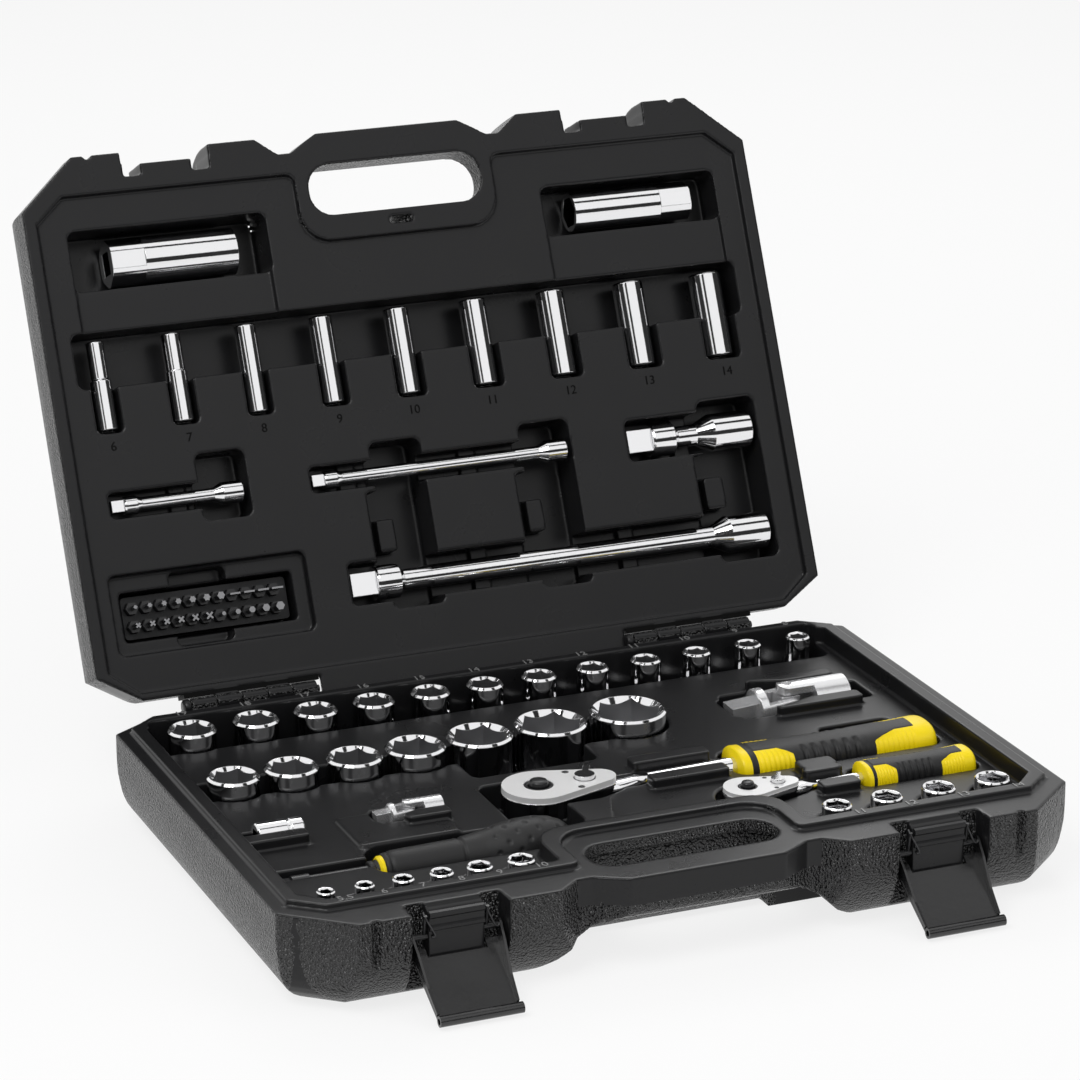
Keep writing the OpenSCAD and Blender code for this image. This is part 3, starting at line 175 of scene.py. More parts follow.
@dataclass(frozen=True)
class Finish:
    """Procedural finish with a mottled colour, uneven gloss and a fine surface."""

    name: str
    colour: tuple[float, float, float]
    roughness: float
    metallic: float = 0.0
    specular: float = 0.5
    coat: float = 0.0
    grain: float = 900.0
    bump: float = 0.05
    mottle: float = 0.08
    uneven: float = 0.06
    relief: float = 0.0004
    edge: float = 0.0
    grain_detail: float = 3.0
    cloud: float = 38.0
    cloud_detail: float = 4.0
    least_roughness: float = 0.02
    edge_samples: int = 4

    def height(self, tree: NodeTree, place: bpy.types.NodeSocket) -> bpy.types.NodeSocket:
        """Height field of the surface.

        Args:
            tree: Material under construction.
            place: Position on the object.

        Returns:
            Output that holds the height.
        """
        noise = tree.add("TexNoise", Scale=self.grain, Detail=self.grain_detail)
        tree.link(place, noise.inputs["Vector"])
        return noise.outputs[0]

    def shaded(self, tree: NodeTree, tone: bpy.types.NodeSocket,
               height: bpy.types.NodeSocket) -> bpy.types.NodeSocket:
        """Colour after the relief's own shading, which a plain finish leaves as it is."""
        return tone

    def make(self) -> bpy.types.Material:
        """Builds the material.

        Returns:
            Material with the finish.
        """
        tree = NodeTree(bpy.data.materials.new(self.name))
        place = tree.add("TexCoord").outputs["Object"]
        cloud = tree.add("TexNoise", Scale=self.cloud, Detail=self.cloud_detail)
        tree.link(place, cloud.inputs["Vector"])
        tone = tree.add("MixRGB", Color1=blend(self.colour, 1 - self.mottle),
                        Color2=blend(self.colour, 1 + self.mottle))
        tree.link(cloud.outputs[0], tone.inputs[0])
        smoothest = max(self.least_roughness, self.roughness - self.uneven)
        gloss = tree.add("MapRange", To_Min=smoothest, To_Max=self.roughness + self.uneven)
        tree.link(cloud.outputs[0], gloss.inputs["Value"])
        bump = tree.add("Bump", Strength=self.bump, Distance=self.relief)
        height = self.height(tree, place)
        tree.link(height, bump.inputs["Height"])
        if self.edge > 0:
            rounded = tree.add("Bevel", samples=self.edge_samples, Radius=self.edge)
            tree.link(rounded.outputs[0], bump.inputs["Normal"])
        shader = tree.add("BsdfPrincipled", Metallic=self.metallic, Coat_Weight=self.coat,
                          Specular_IOR_Level=self.specular)
        tree.link(self.shaded(tree, tone.outputs[0], height), shader.inputs["Base Color"])
        tree.link(gloss.outputs[0], shader.inputs["Roughness"])
        tree.link(bump.outputs[0], shader.inputs["Normal"])
        tree.close(shader)
        return tree.owner


@dataclass(frozen=True)
class PebbledFinish(Finish):
    """Finish with the leathery grain of the case's outside, with painted shade in its valleys and
    painted highlights on its tops.
    """

    pebble: float = 720.0
    smoothness: float = 0.25
    wobble: float = 0.5
    wobble_detail: float = 2.0
    stray: float = 0.0007
    # The colour's gain runs between the two gains below, from the valley height to the top height:
    # painted shade in the valleys, painted highlights on the tops.
    valley: float = 0.45
    top: float = 0.85
    darkest: float = 0.2
    lightest: float = 3.4

    def height(self, tree: NodeTree, place: bpy.types.NodeSocket) -> bpy.types.NodeSocket:
        """Rounded pebbles with narrow valleys.

        Args:
            tree: Material under construction.
            place: Position on the object.

        Returns:
            Output that holds the height.
        """
        cells = tree.add("TexVoronoi", Scale=self.pebble, feature="SMOOTH_F1",
                         Smoothness=self.smoothness)
        wobble = tree.add("TexNoise", Scale=self.pebble * self.wobble, Detail=self.wobble_detail)
        moved = tree.add("VectorMath", operation="MULTIPLY_ADD")
        moved.inputs[1].default_value = (self.stray, self.stray, self.stray)
        tree.link(place, wobble.inputs["Vector"])
        tree.link(wobble.outputs["Color"], moved.inputs[0])
        tree.link(place, moved.inputs[2])
        tree.link(moved.outputs[0], cells.inputs["Vector"])
        return tree.calculate("SUBTRACT", 1.0, cells.outputs["Distance"])

    def shaded(self, tree: NodeTree, tone: bpy.types.NodeSocket,
               height: bpy.types.NodeSocket) -> bpy.types.NodeSocket:
        """Paints shade into the valleys and highlights onto the tops of the pebbles.

        Args:
            tree: Material under construction.
            tone: Colour of the plastic.
            height: Height of the relief.

        Returns:
            The shaded colour.
        """
        # Painted shade and highlight: the pebbles' height scales their colour.
        gain = tree.add("MapRange", From_Min=self.valley, From_Max=self.top, To_Min=self.darkest,
                        To_Max=self.lightest)
        tree.link(height, gain.inputs["Value"])
        scaled = tree.add("VectorMath", operation="SCALE")
        tree.link(tone, scaled.inputs[0])
        tree.link(gain.outputs[0], scaled.inputs["Scale"])
        return scaled.outputs[0]


class Look(Enum):
    """Finishes of the set."""

    TRAY = Finish("tray_plastic", (0.0095, 0.0095, 0.0102), 0.29, specular=0.3, grain=1400.0)
    PEBBLE = PebbledFinish("pebbled_plastic", (0.011, 0.011, 0.0115), 0.24, specular=0.6, bump=1.0,
                           relief=0.0022)
    # Pale grey on the case's raised numbers: a painted highlight for light on their edges.
    MARK = Finish("raised_marks_painted_highlight", (0.2, 0.2, 0.2), 0.25, specular=0.7)
    # Near black and dull: the lid's size numbers, and plates that stand as painted shade in the gap
    # behind the hinge knuckles.
    SUNK = Finish("dark_marks_and_shade_plates", (0.002, 0.002, 0.002), 0.5, specular=0.1)
    RACK = Finish("rack_plastic", (0.008, 0.008, 0.009), 0.4, specular=0.35)
    PAINT = Finish("latch_paint", (0.008, 0.008, 0.0085), 0.24, specular=0.75, bump=0.1,
                   grain=500.0)
    CHROME = Finish("polished_chrome", (0.84, 0.84, 0.85), 0.055, metallic=1.0, bump=0.02,
                    mottle=0.02, uneven=0.02, edge=0.0005)
    PLATE = Finish("satin_plate", (0.82, 0.82, 0.82), 0.38, metallic=0.3, bump=0.06, grain=2600.0,
                   mottle=0.02, uneven=0.04)
    SATIN = Finish("satin_steel", (0.58, 0.58, 0.6), 0.26, metallic=1.0, uneven=0.08)
    DARK = Finish("dark_steel", (0.06, 0.06, 0.062), 0.3, metallic=0.8, bump=0.06, uneven=0.08)
    BRUSHED = Finish("brushed_chrome", (0.8, 0.8, 0.81), 0.24, metallic=0.8, bump=0.04,
                     mottle=0.03, edge=0.0004)
    # Duller broached gloss in the socket bores, and a darker colour there that is painted shade in
    # the recess.
    BROACHED = Finish("broached_steel_and_bore_shade", (0.5, 0.5, 0.51), 0.34, metallic=1.0, uneven=0.08)
    TIP = Finish("bare_tips", (0.3, 0.3, 0.31), 0.35, metallic=0.6)
    BLACKENED = Finish("blackened_steel", (0.012, 0.012, 0.013), 0.3, specular=0.45, coat=0.1)
    RUBBER = Finish("grip_rubber", (0.014, 0.014, 0.0145), 0.45, specular=0.35, grain=2600.0,
                    bump=0.25)
    YELLOW = Finish("yellow_plastic", (0.97, 0.74, 0.004), 0.36, specular=0.35, grain=2200.0,
                    bump=0.12, mottle=0.03)


class Palette:
    """Materials made once from the finishes."""

    def __init__(self) -> None:
        """Builds every finish."""
        self.made = {look: look.value.make() for look in Look}

    def dress(self, obj: bpy.types.Object, *looks: Look) -> None:
        """Gives an object its finishes, one per slot.

        Args:
            obj: Object with a mesh.
            *looks: Finishes in the order of the slots.
        """
        faces = obj.data.polygons
        kept = np.zeros(len(faces), np.int32)
        faces.foreach_get("material_index", kept)
        obj.data.materials.clear()
        for look in looks:
            obj.data.materials.append(self.made[look])
        faces.foreach_set("material_index", np.minimum(kept, len(looks) - 1))


NODE_LOOKS = {
    "joint_": Look.BRUSHED, "hinge_pins": Look.BLACKENED, "latch_springs": Look.BLACKENED,
    "latch_lever": Look.PAINT, "spinner_grip": Look.RUBBER, "spinner_ferrule": Look.YELLOW,
    "spinner_shaft": Look.BLACKENED, "bit_rack": Look.RACK, "bits": Look.BLACKENED,
    "base_shell": Look.TRAY, "lid_shell": Look.TRAY,
}
RATCHET_LOOKS = {
    "button": Look.DARK, "lever": Look.CHROME, "drive": Look.SATIN, "grip_inlay": Look.YELLOW,
    "grip": Look.RUBBER, "cover": Look.PLATE,
}
NODE_LOOKS |= {f"ratchet_{size}_{part}": look for size in ("half", "quarter")
               for part, look in RATCHET_LOOKS.items()}


def look_of(node: str) -> Look:
    """Finish of a node: the longest matching name, or chrome."""
    fits = [name for name in NODE_LOOKS if node.startswith(name)]
    return NODE_LOOKS[max(fits, key=len)] if fits else Look.CHROME


def apply_modifiers(obj: bpy.types.Object) -> None:
    """Replaces an object's mesh with the result of its modifiers.

    Args:
        obj: Object with modifiers.
    """
    graph = bpy.context.evaluated_depsgraph_get()
    mesh = bpy.data.meshes.new_from_object(obj.evaluated_get(graph))
    obj.modifiers.clear()
    obj.data = mesh


@dataclass
class SoftShell:
    """Moulded half of the case with rounded edges, in place of the sharp solid."""

    node: str
    body: str
    shut: Matrix
    voxel: float = 0.8 * MM
    softness: float = 0.5
    passes: int = 3
    keep: float = 0.3
    rim_z: float = BASE_H
    rim_half: float = 4.5 * MM
    rim_level: float = 0.6
    tray_half: float = 0.2085
    tray_front: float = -0.1285
    tray_back: float = 0.1465
    steep: float = 0.75
    slot_half: float = 0.0585
    slot_back: float = -0.096
    latch_x: float = 0.1305
    latch_half: float = 0.0256
    latch_back: float = -0.136
    bar_half: float = 0.066
    bar_back: float = -0.1365
    bar_tall: float = 14.5 * MM

    def mesh(self, frame: dict) -> bpy.types.Object:
        """Rounds the solid's edges by remeshing and smoothing a copy.

        Args:
            frame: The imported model.

        Returns:
            The new shell.
        """
        source = frame["nodes"][self.node]
        obj = bpy.data.objects.new(self.node + "_soft", source.data.copy())
        bpy.context.scene.collection.objects.link(obj)
        remesh = obj.modifiers.new("grid", "REMESH")
        remesh.mode = "VOXEL"
        remesh.voxel_size = self.voxel
        smooth = obj.modifiers.new("soft", "SMOOTH")
        smooth.factor = self.softness
        smooth.iterations = self.passes
        thin = obj.modifiers.new("thin", "DECIMATE")
        thin.ratio = self.keep
        apply_modifiers(obj)
        return obj

    def dress(self, obj: bpy.types.Object, palette: Palette) -> None:
        """Gives the tray and rim a smooth finish and the outer walls a pebbled one.

        Args:
            obj: The shell.
            palette: The finishes.
        """
        palette.dress(obj, Look.TRAY, Look.PEBBLE)
        mesh = obj.data
        count = len(mesh.polygons)
        centre = np.empty(count * 3, np.float32)
        normal = np.empty(count * 3, np.float32)
        mesh.polygons.foreach_get("center", centre)
        mesh.polygons.foreach_get("normal", normal)
        turn = np.array(self.shut.to_3x3())
        centre = centre.reshape(-1, 3) @ turn.T + np.array(self.shut.translation)
        normal = normal.reshape(-1, 3) @ turn.T
        side, depth = np.abs(centre[:, 0]), centre[:, 1]
        upward = normal[:, 2]
        away = np.abs(centre[:, 2] - self.rim_z)
        inside = (side < self.tray_half) & (depth > self.tray_front) & (depth < self.tray_back)
        slot = (side < self.slot_half) & (depth < self.slot_back)
        latch = (np.abs(side - self.latch_x) < self.latch_half) & (depth < self.latch_back)
        bar = (side < self.bar_half) & (depth < self.bar_back) & (away < self.bar_tall)
        rim = (np.abs(upward) > self.rim_level) & (away < self.rim_half)
        top_side = (upward > 0) if self.body == "case" else (upward < 0)
        tray = inside & ~slot & (top_side | (np.abs(upward) < self.steep))
        smooth = rim | bar | latch | tray
        mesh.polygons.foreach_set("material_index", np.where(smooth, 0, 1).astype(np.int32))
        mesh.shade_smooth()
        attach(obj, self.body)
        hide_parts(self.node)


def new_mesh(name: str, points: list, faces: list, body: str) -> bpy.types.Object:
    """Adds a mesh object that rides on a body.

    Args:
        name: Name of the piece.
        points: Vertices in metres.
        faces: Tuples of vertex indices.
        body: Body that carries the piece.

    Returns:
        The new object.
    """
    mesh = bpy.data.meshes.new(name)
    mesh.from_pydata([tuple(p) for p in points], [], faces)
    mesh.validate()
    obj = bpy.data.objects.new(name, mesh)
    bpy.context.scene.collection.objects.link(obj)
    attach(obj, body)
    return obj


def tube_faces(rings: int, around: int) -> list[tuple[int, ...]]:
    """Quads of a tube of rings, with one face as the cap at each end.

    Args:
        rings: Number of rings.
        around: Number of points in each ring.

    Returns:
        Faces of the tube, then its first and its last cap.
    """
    quads = [(i * around + j, i * around + (j + 1) % around, (i + 1) * around + (j + 1) % around,
              (i + 1) * around + j) for i in range(rings - 1) for j in range(around)]
    first = tuple(reversed(range(around)))
    last = tuple(range((rings - 1) * around, rings * around))
    return quads + [first, last]


def falloff(distance: float, width: float) -> float:
    """Smooth bump: one at zero distance, nothing beyond the width."""
    share = min(1.0, abs(distance) / width)
    return 1 - share * share * (3 - 2 * share)


def rounded_square(wave: float, power: float) -> float:
    """Sine or cosine bent so that a circle becomes a rounded square."""
    return math.copysign(abs(wave) ** power, wave)


@dataclass
class RatchetGrip:
    """Two-colour ratchet grip: ring, ribbed saddles, cross-ribbed waist and tail.

    The pitch is in metres. Places and widths along the grip are shares of its length, and depths
    are shares of its half width.
    """

    size: str
    rib_pitch: float
    rib_depth: float = 0.085
    around: int = 96
    side_part: int = 6
    power: float = 0.8
    edge: float = 0.42
    waist_dip: float = 0.09
    neck_end: float = 0.05
    neck: float = 0.94
    groove: tuple[float, float, float] = (0.062, 0.017, 0.07)
    mouth: tuple[float, float] = (0.012, 0.05)
    saddle_ribs: float = 0.55
    waist_start: float = 0.27
    waist_end: float = 0.64
    waist_pitch: float = 2.1
    waist_fade: float = 20.0
    tail: tuple[float, float, float] = (0.93, 0.07, 0.26)
    lean_rise: float = 1.6
    side_rise: float = 4.0
    seam: float = 0.018

    def columns(self) -> list[tuple[float, float, int]]:
        """Colour borders: place on the top and bottom, place on the sides, and steps to it."""
        return [(0.0, 0.0, 1), (0.012, 0.012, 3), (0.045, 0.045, 2), (0.075, 0.075, 3),
                (0.19, 0.26, 40), (0.80, 0.68, 110), (0.90, 0.90, 36), (0.965, 0.965, 12),
                (1.0, 1.0, 8)]

    def stations(self) -> list[tuple[float, float, int]]:
        """Splits the length at the colour borders.

        Returns:
            For each ring its share on the flat and on the side, and the zone it starts.
        """
        keys = self.columns()
        out = []
        spans = enumerate(zip(keys, keys[1:]))
        for zone, ((flat, side, _), (next_flat, next_side, steps)) in spans:
            for k in range(steps):
                t = k / steps
                out.append((flat + (next_flat - flat) * t, side + (next_side - side) * t, zone))
        out.append((1.0, 1.0, len(keys) - 2))
        return out

    def ribs(self, share: float, zone: int, side: float, place: float) -> float:
        """Depth of the grooves between the ribs at a place.

        Args:
            share: Place along the grip, from 0 to 1.
            zone: Colour zone.
            side: How far the place is on the side, from 0 to 1.
            place: Place along the grip in metres.

        Returns:
            Depth as a share of the half width.
        """
        if zone in SADDLES:
            wave = 0.5 - 0.5 * math.cos(2 * math.pi * place / self.rib_pitch)
            return self.rib_depth * self.saddle_ribs * wave * side
        if zone == WAIST and self.waist_start < share < self.waist_end:
            wave = math.cos(2 * math.pi * place / (self.rib_pitch * self.waist_pitch))
            fade = min(1.0, (self.waist_end - share) * self.waist_fade,
                       (share - self.waist_start) * self.waist_fade)
            return self.rib_depth * max(0.0, wave) ** 0.5 * side * fade
        return 0.0

    def radius(self, share: float, zone: int, side: float, length: float) -> float:
        """Radius factor of the grip at a place.

        Args:
            share: Place along the grip, from 0 to 1.
            zone: Colour zone.
            side: How far the place is on the side, from 0 to 1.
            length: Length of the grip in metres.

        Returns:
            Factor on the section's half sizes.
        """
        groove_at, groove_wide, groove_deep = self.groove
        mouth_wide, mouth_deep = self.mouth
        tail_start, tail_length, tail_drop = self.tail
        waist = 1 - self.waist_dip * math.sin(math.pi * share)
        ring = self.neck if share < self.neck_end else 1.0
        ring -= groove_deep * falloff(share - groove_at, groove_wide)
        ring -= mouth_deep * falloff(share, mouth_wide)
        late = max(0.0, (share - tail_start) / tail_length)
        end = tail_drop * (1 - math.sqrt(max(0.0, 1 - late ** 3)))
        return waist * ring - self.ribs(share, zone, side, share * length) - end

    def mesh(self, low: Vector, high: Vector) -> bpy.types.Object:
        """Builds the grip inside its box.

        Args:
            low: Lowest corner of both grip nodes.
            high: Highest corner of both grip nodes.

        Returns:
            The grip, its faces set for black in slot 0 and for yellow in slot 1.
        """
        length = high.x - low.x
        mid = (low + high) / 2
        half_y = (high.y - low.y) / 2
        half_z = (high.z - low.z) / 2
        split = math.acos(min(1.0, self.edge ** (1 / self.power)))
        angles = self.angles(split)
        points, rows = [], self.stations()
        for flat_share, side_share, zone in rows:
            for angle in angles:
                across = rounded_square(math.cos(angle), self.power)
                tall = rounded_square(math.sin(angle), self.power)
                side = max(0.0, (abs(across) - self.edge) / (1 - self.edge))
                lean = min(1.0, side * self.lean_rise)
                share = flat_share + (side_share - flat_share) * lean
                on_side = min(1.0, side * self.side_rise)
                scale = self.radius(share, zone, on_side, length)
                border = self.seam * self.at_border(angle, split, zone)
                points.append((low.x + share * length, mid.y + across * half_y * (scale - border),
                               mid.z + tall * half_z * (scale - border)))
        faces = tube_faces(len(rows), len(angles))
        body = f"ratchet_{self.size}"
        obj = new_mesh(f"{self.size}_grip_moulded", points, faces, body)
        self.paint(obj, rows, angles)
        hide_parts(f"ratchet_{self.size}_grip", f"ratchet_{self.size}_grip_inlay")
        return obj

    def angles(self, split: float) -> list[float]:
        """Angles round the section, with one on each colour border.

        Args:
            split: Angle from the side at which the side panels end.

        Returns:
            Angles in rising order.
        """
        side_steps = self.around // self.side_part
        top_steps = self.around // 2 - 2 * side_steps
        out = []
        for start, end, steps in ((-split, split, 2 * side_steps),
                                  (split, math.pi - split, top_steps),
                                  (math.pi - split, math.pi + split, 2 * side_steps),
                                  (math.pi + split, 2 * math.pi - split, top_steps)):
            out += [start + (end - start) * k / steps for k in range(steps)]
        return out

    def at_border(self, angle: float, split: float, zone: int) -> float:
        """One on the lengthwise colour border of the panels, else zero."""
        nearest = min(abs(((angle - a + math.pi) % (2 * math.pi)) - math.pi)
                      for a in (split, -split, math.pi - split, math.pi + split))
        return 1.0 if nearest < SAME_ANGLE and zone in SADDLES else 0.0

    def paint(self, obj: bpy.types.Object, rows: list, angles: list[float]) -> None:
        """Colours the ring, panels and tail yellow.

        Args:
            obj: The grip.
            rows: Stations of its rings.
            angles: Angles of its section.
        """
        around = len(angles)
        following = angles[1:] + [angles[0] + 2 * math.pi]
        for poly in obj.data.polygons:
            if poly.index >= (len(rows) - 1) * around:
                poly.material_index = 1
                continue
            ring, step = divmod(poly.index, around)
            zone = rows[ring][2]
            middle = (angles[step] + following[step]) / 2
            on_side = abs(math.cos(middle)) ** self.power > self.edge
            yellow = zone in YELLOW_ENDS or (zone in SADDLES and on_side)
            poly.material_index = 1 if yellow else 0
        obj.data.shade_smooth()


@dataclass
class SpinnerGrip:
    """Turned screwdriver grip with a groove behind its neck and dimples on its bulb."""

    rings: int = 240
    around: int = 120
    evening: tuple[int, ...] = (1, 2, 3, 2, 1)
    groove: tuple[float, float] = (37.0, 42.0)
    dimple: float = 1.9 * MM
    depth: float = 0.8 * MM
    dimple_start: float = 56.0
    dimple_pitch: float = 5.6
    dimple_rows: int = 7
    dimples_round: int = 9

    def outline(self) -> list[tuple[float, float]]:
        """Key points of the outline: distance along the grip and radius, in millimetres."""
        return [(0, 8.2), (1, 9.2), (3, 9.6), (20, 9.9), (38, 10.2), (39.2, 9.7), (40.4, 10.6),
                (50, 11.9), (60, 14.1), (70, 15.3), (80, 15.35), (88, 14.0), (94, 11.4),
                (98, 8.0), (100, 4.2), (100.6, 0.6)]

    def dimples(self) -> list[tuple[float, float]]:
        """Lays the dimples out in staggered rows.

        Returns:
            Place along the grip in metres and angle of each dimple.
        """
        count = self.dimples_round
        return [(self.dimple_start * MM + row * self.dimple_pitch * MM,
                 math.pi * (k / (count / 2) + (row % 2) / count))
                for row in range(self.dimple_rows) for k in range(count)]

    def mesh(self, low: Vector, high: Vector) -> bpy.types.Object:
        """Builds the grip inside its box.

        Args:
            low: Lowest corner of the node.
            high: Highest corner of the node.

        Returns:
            The grip.
        """
        keys = self.outline()
        mid = (low + high) / 2
        along = np.linspace(0, keys[-1][0], self.rings)
        radius = np.interp(along, [k[0] for k in keys], [k[1] for k in keys])
        kernel = np.array(self.evening) / sum(self.evening)
        padded = np.pad(radius, len(self.evening) // 2, mode="edge")
        smooth = np.convolve(padded, kernel, mode="valid")
        in_groove = (along > self.groove[0]) & (along < self.groove[1])
        radius = np.where(in_groove, radius, smooth)
        spots = self.dimples()
        points = []
        for x, r in zip(along * MM, radius * MM):
            for k in range(self.around):
                angle = 2 * math.pi * k / self.around
                sink = 0.0
                for place, turn in spots:
                    if abs(x - place) < self.dimple:
                        arc = ((angle - turn + math.pi) % (2 * math.pi) - math.pi) * r
                        sink = max(sink, falloff(math.hypot(x - place, arc), self.dimple))
                reach = r - sink * self.depth
                points.append((low.x + x, mid.y + reach * math.cos(angle),
                               mid.z + reach * math.sin(angle)))
        faces = tube_faces(self.rings, self.around)
        obj = new_mesh("spinner_grip_moulded", points, faces, "spinner")
        obj.data.shade_smooth()
        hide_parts("spinner_grip")
        return obj


@dataclass
class Turned:
    """Small round piece turned about an upright or lengthwise axis."""

    name: str
    body: str
    slot: str
    look: Look
    outline: list[tuple[float, float]]
    place: tuple[float, float, float]
    along_x: bool = False
    around: int = 48

    def mesh(self) -> bpy.types.Object:
        """Builds the piece from its outline of radius and height in millimetres.

        Returns:
            The new object.
        """
        points = []
        for radius, height in self.outline:
            for k in range(self.around):
                angle = 2 * math.pi * k / self.around
                ring = Vector((radius * math.cos(angle), radius * math.sin(angle), height))
                if self.along_x:
                    ring = Vector((ring.z, ring.x, ring.y))
                points.append((Vector(self.place) + ring) * MM)
        faces = tube_faces(len(self.outline), self.around)
        obj = new_mesh(self.name, points, faces, self.body)
        obj.data.shade_smooth()
        return obj


@dataclass
class RatchetHead:
    """Trim of a ratchet's head: domed release button in a dark ring, and two pins."""

    size: str
    at: tuple[float, float]
    radius: float
    height: float
    top: float = 48.5
    dome_foot: float = 0.3
    pin_apart: float = 0.56

    def pieces(self) -> list[Turned]:
        """Button, ring and pins.

        Returns:
            The turned pieces, not yet built.
        """
        x, y = self.at
        r = self.radius
        ring = [(r * 0.285, -2.2), (r * 0.285, -0.5), (r * 0.3, -0.2), (r * 0.37, -0.1),
                (r * 0.39, -0.35), (r * 0.39, -2.2)]
        dome = [(r * 0.262, -self.height * self.dome_foot), (r * 0.262, 1.1), (r * 0.255, 1.9),
                (r * 0.225, 2.6), (r * 0.16, 2.9), (r * 0.02, 3.0)]
        pin = [(r * 0.095, -1.5), (r * 0.095, -0.3), (r * 0.07, 0.1), (r * 0.01, 0.2)]
        body = f"ratchet_{self.size}"
        made = [Turned(f"{self.size}_ring", body, "steel", Look.BLACKENED, ring, (x, y, self.top)),
                Turned(f"{self.size}_button_dome", body + "_button", "steel", Look.BLACKENED, dome,
                       (x, y, self.top), around=24)]
        for end, side in (("front", -1), ("back", 1)):
            place = (x + r, y + side * r * self.pin_apart, self.top)
            made.append(Turned(f"{self.size}_pin_{end}", body, "steel", Look.DARK, pin, place))
        return made

    def build(self, palette: Palette) -> None:
        """Builds and dresses the trim.

        Args:
            palette: The finishes.
        """
        for piece in self.pieces():
            obj = piece.mesh()
            palette.dress(obj, piece.look)
            if "dome" in piece.name:
                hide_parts(f"ratchet_{self.size}_button")


@dataclass
class NeckShoulder:
    """Forged shoulder that carries a ratchet's head over into its neck."""

    size: str
    middle_y: float
    sections: list[tuple[float, float, float, float]]
    around: int = 32
    square: float = 0.6

    def build(self, palette: Palette) -> None:
        """Builds and dresses the shoulder.

        Args:
            palette: The finishes.
        """
        points = []
        for x, half, low, high in self.sections:
            for k in range(self.around):
                angle = 2 * math.pi * k / self.around
                y = self.middle_y + half * rounded_square(math.cos(angle), self.square)
                tall = rounded_square(math.sin(angle), self.square)
                points.append(Vector((x, y, (low + high + (high - low) * tall) / 2)) * MM)
        faces = tube_faces(len(self.sections), self.around)
        body = f"ratchet_{self.size}"
        obj = new_mesh(f"{self.size}_shoulder", points, faces, body)
        obj.data.shade_smooth()
        palette.dress(obj, Look.CHROME)


@dataclass
class SpinnerTrim:
    """Dark flared guard behind the spinner's ferrule and collar in front of it."""

    ferrule: tuple[float, float, float] = (-142.0, -64.0, 37.0)

    def build(self, palette: Palette) -> None:
        """Builds and dresses the guard and the collar.

        Args:
            palette: The finishes.
        """
        guard = [(6.0, 2.7), (7.9, 2.7), (8.6, 3.2), (8.9, 4.2), (8.9, 5.6), (6.0, 5.6)]
        collar = [(4.1, -4.6), (5.4, -4.6), (6.0, -4.0), (6.0, -2.2), (5.2, -1.6), (5.2, -0.9),
                  (6.1, -0.5), (6.1, 0.9), (4.1, 0.9)]
        for name, outline in (("spinner_guard", guard), ("spinner_collar", collar)):
            piece = Turned(name, "spinner", "grip_black", Look.RUBBER, outline, self.ferrule,
                           along_x=True)
            palette.dress(piece.mesh(), piece.look)


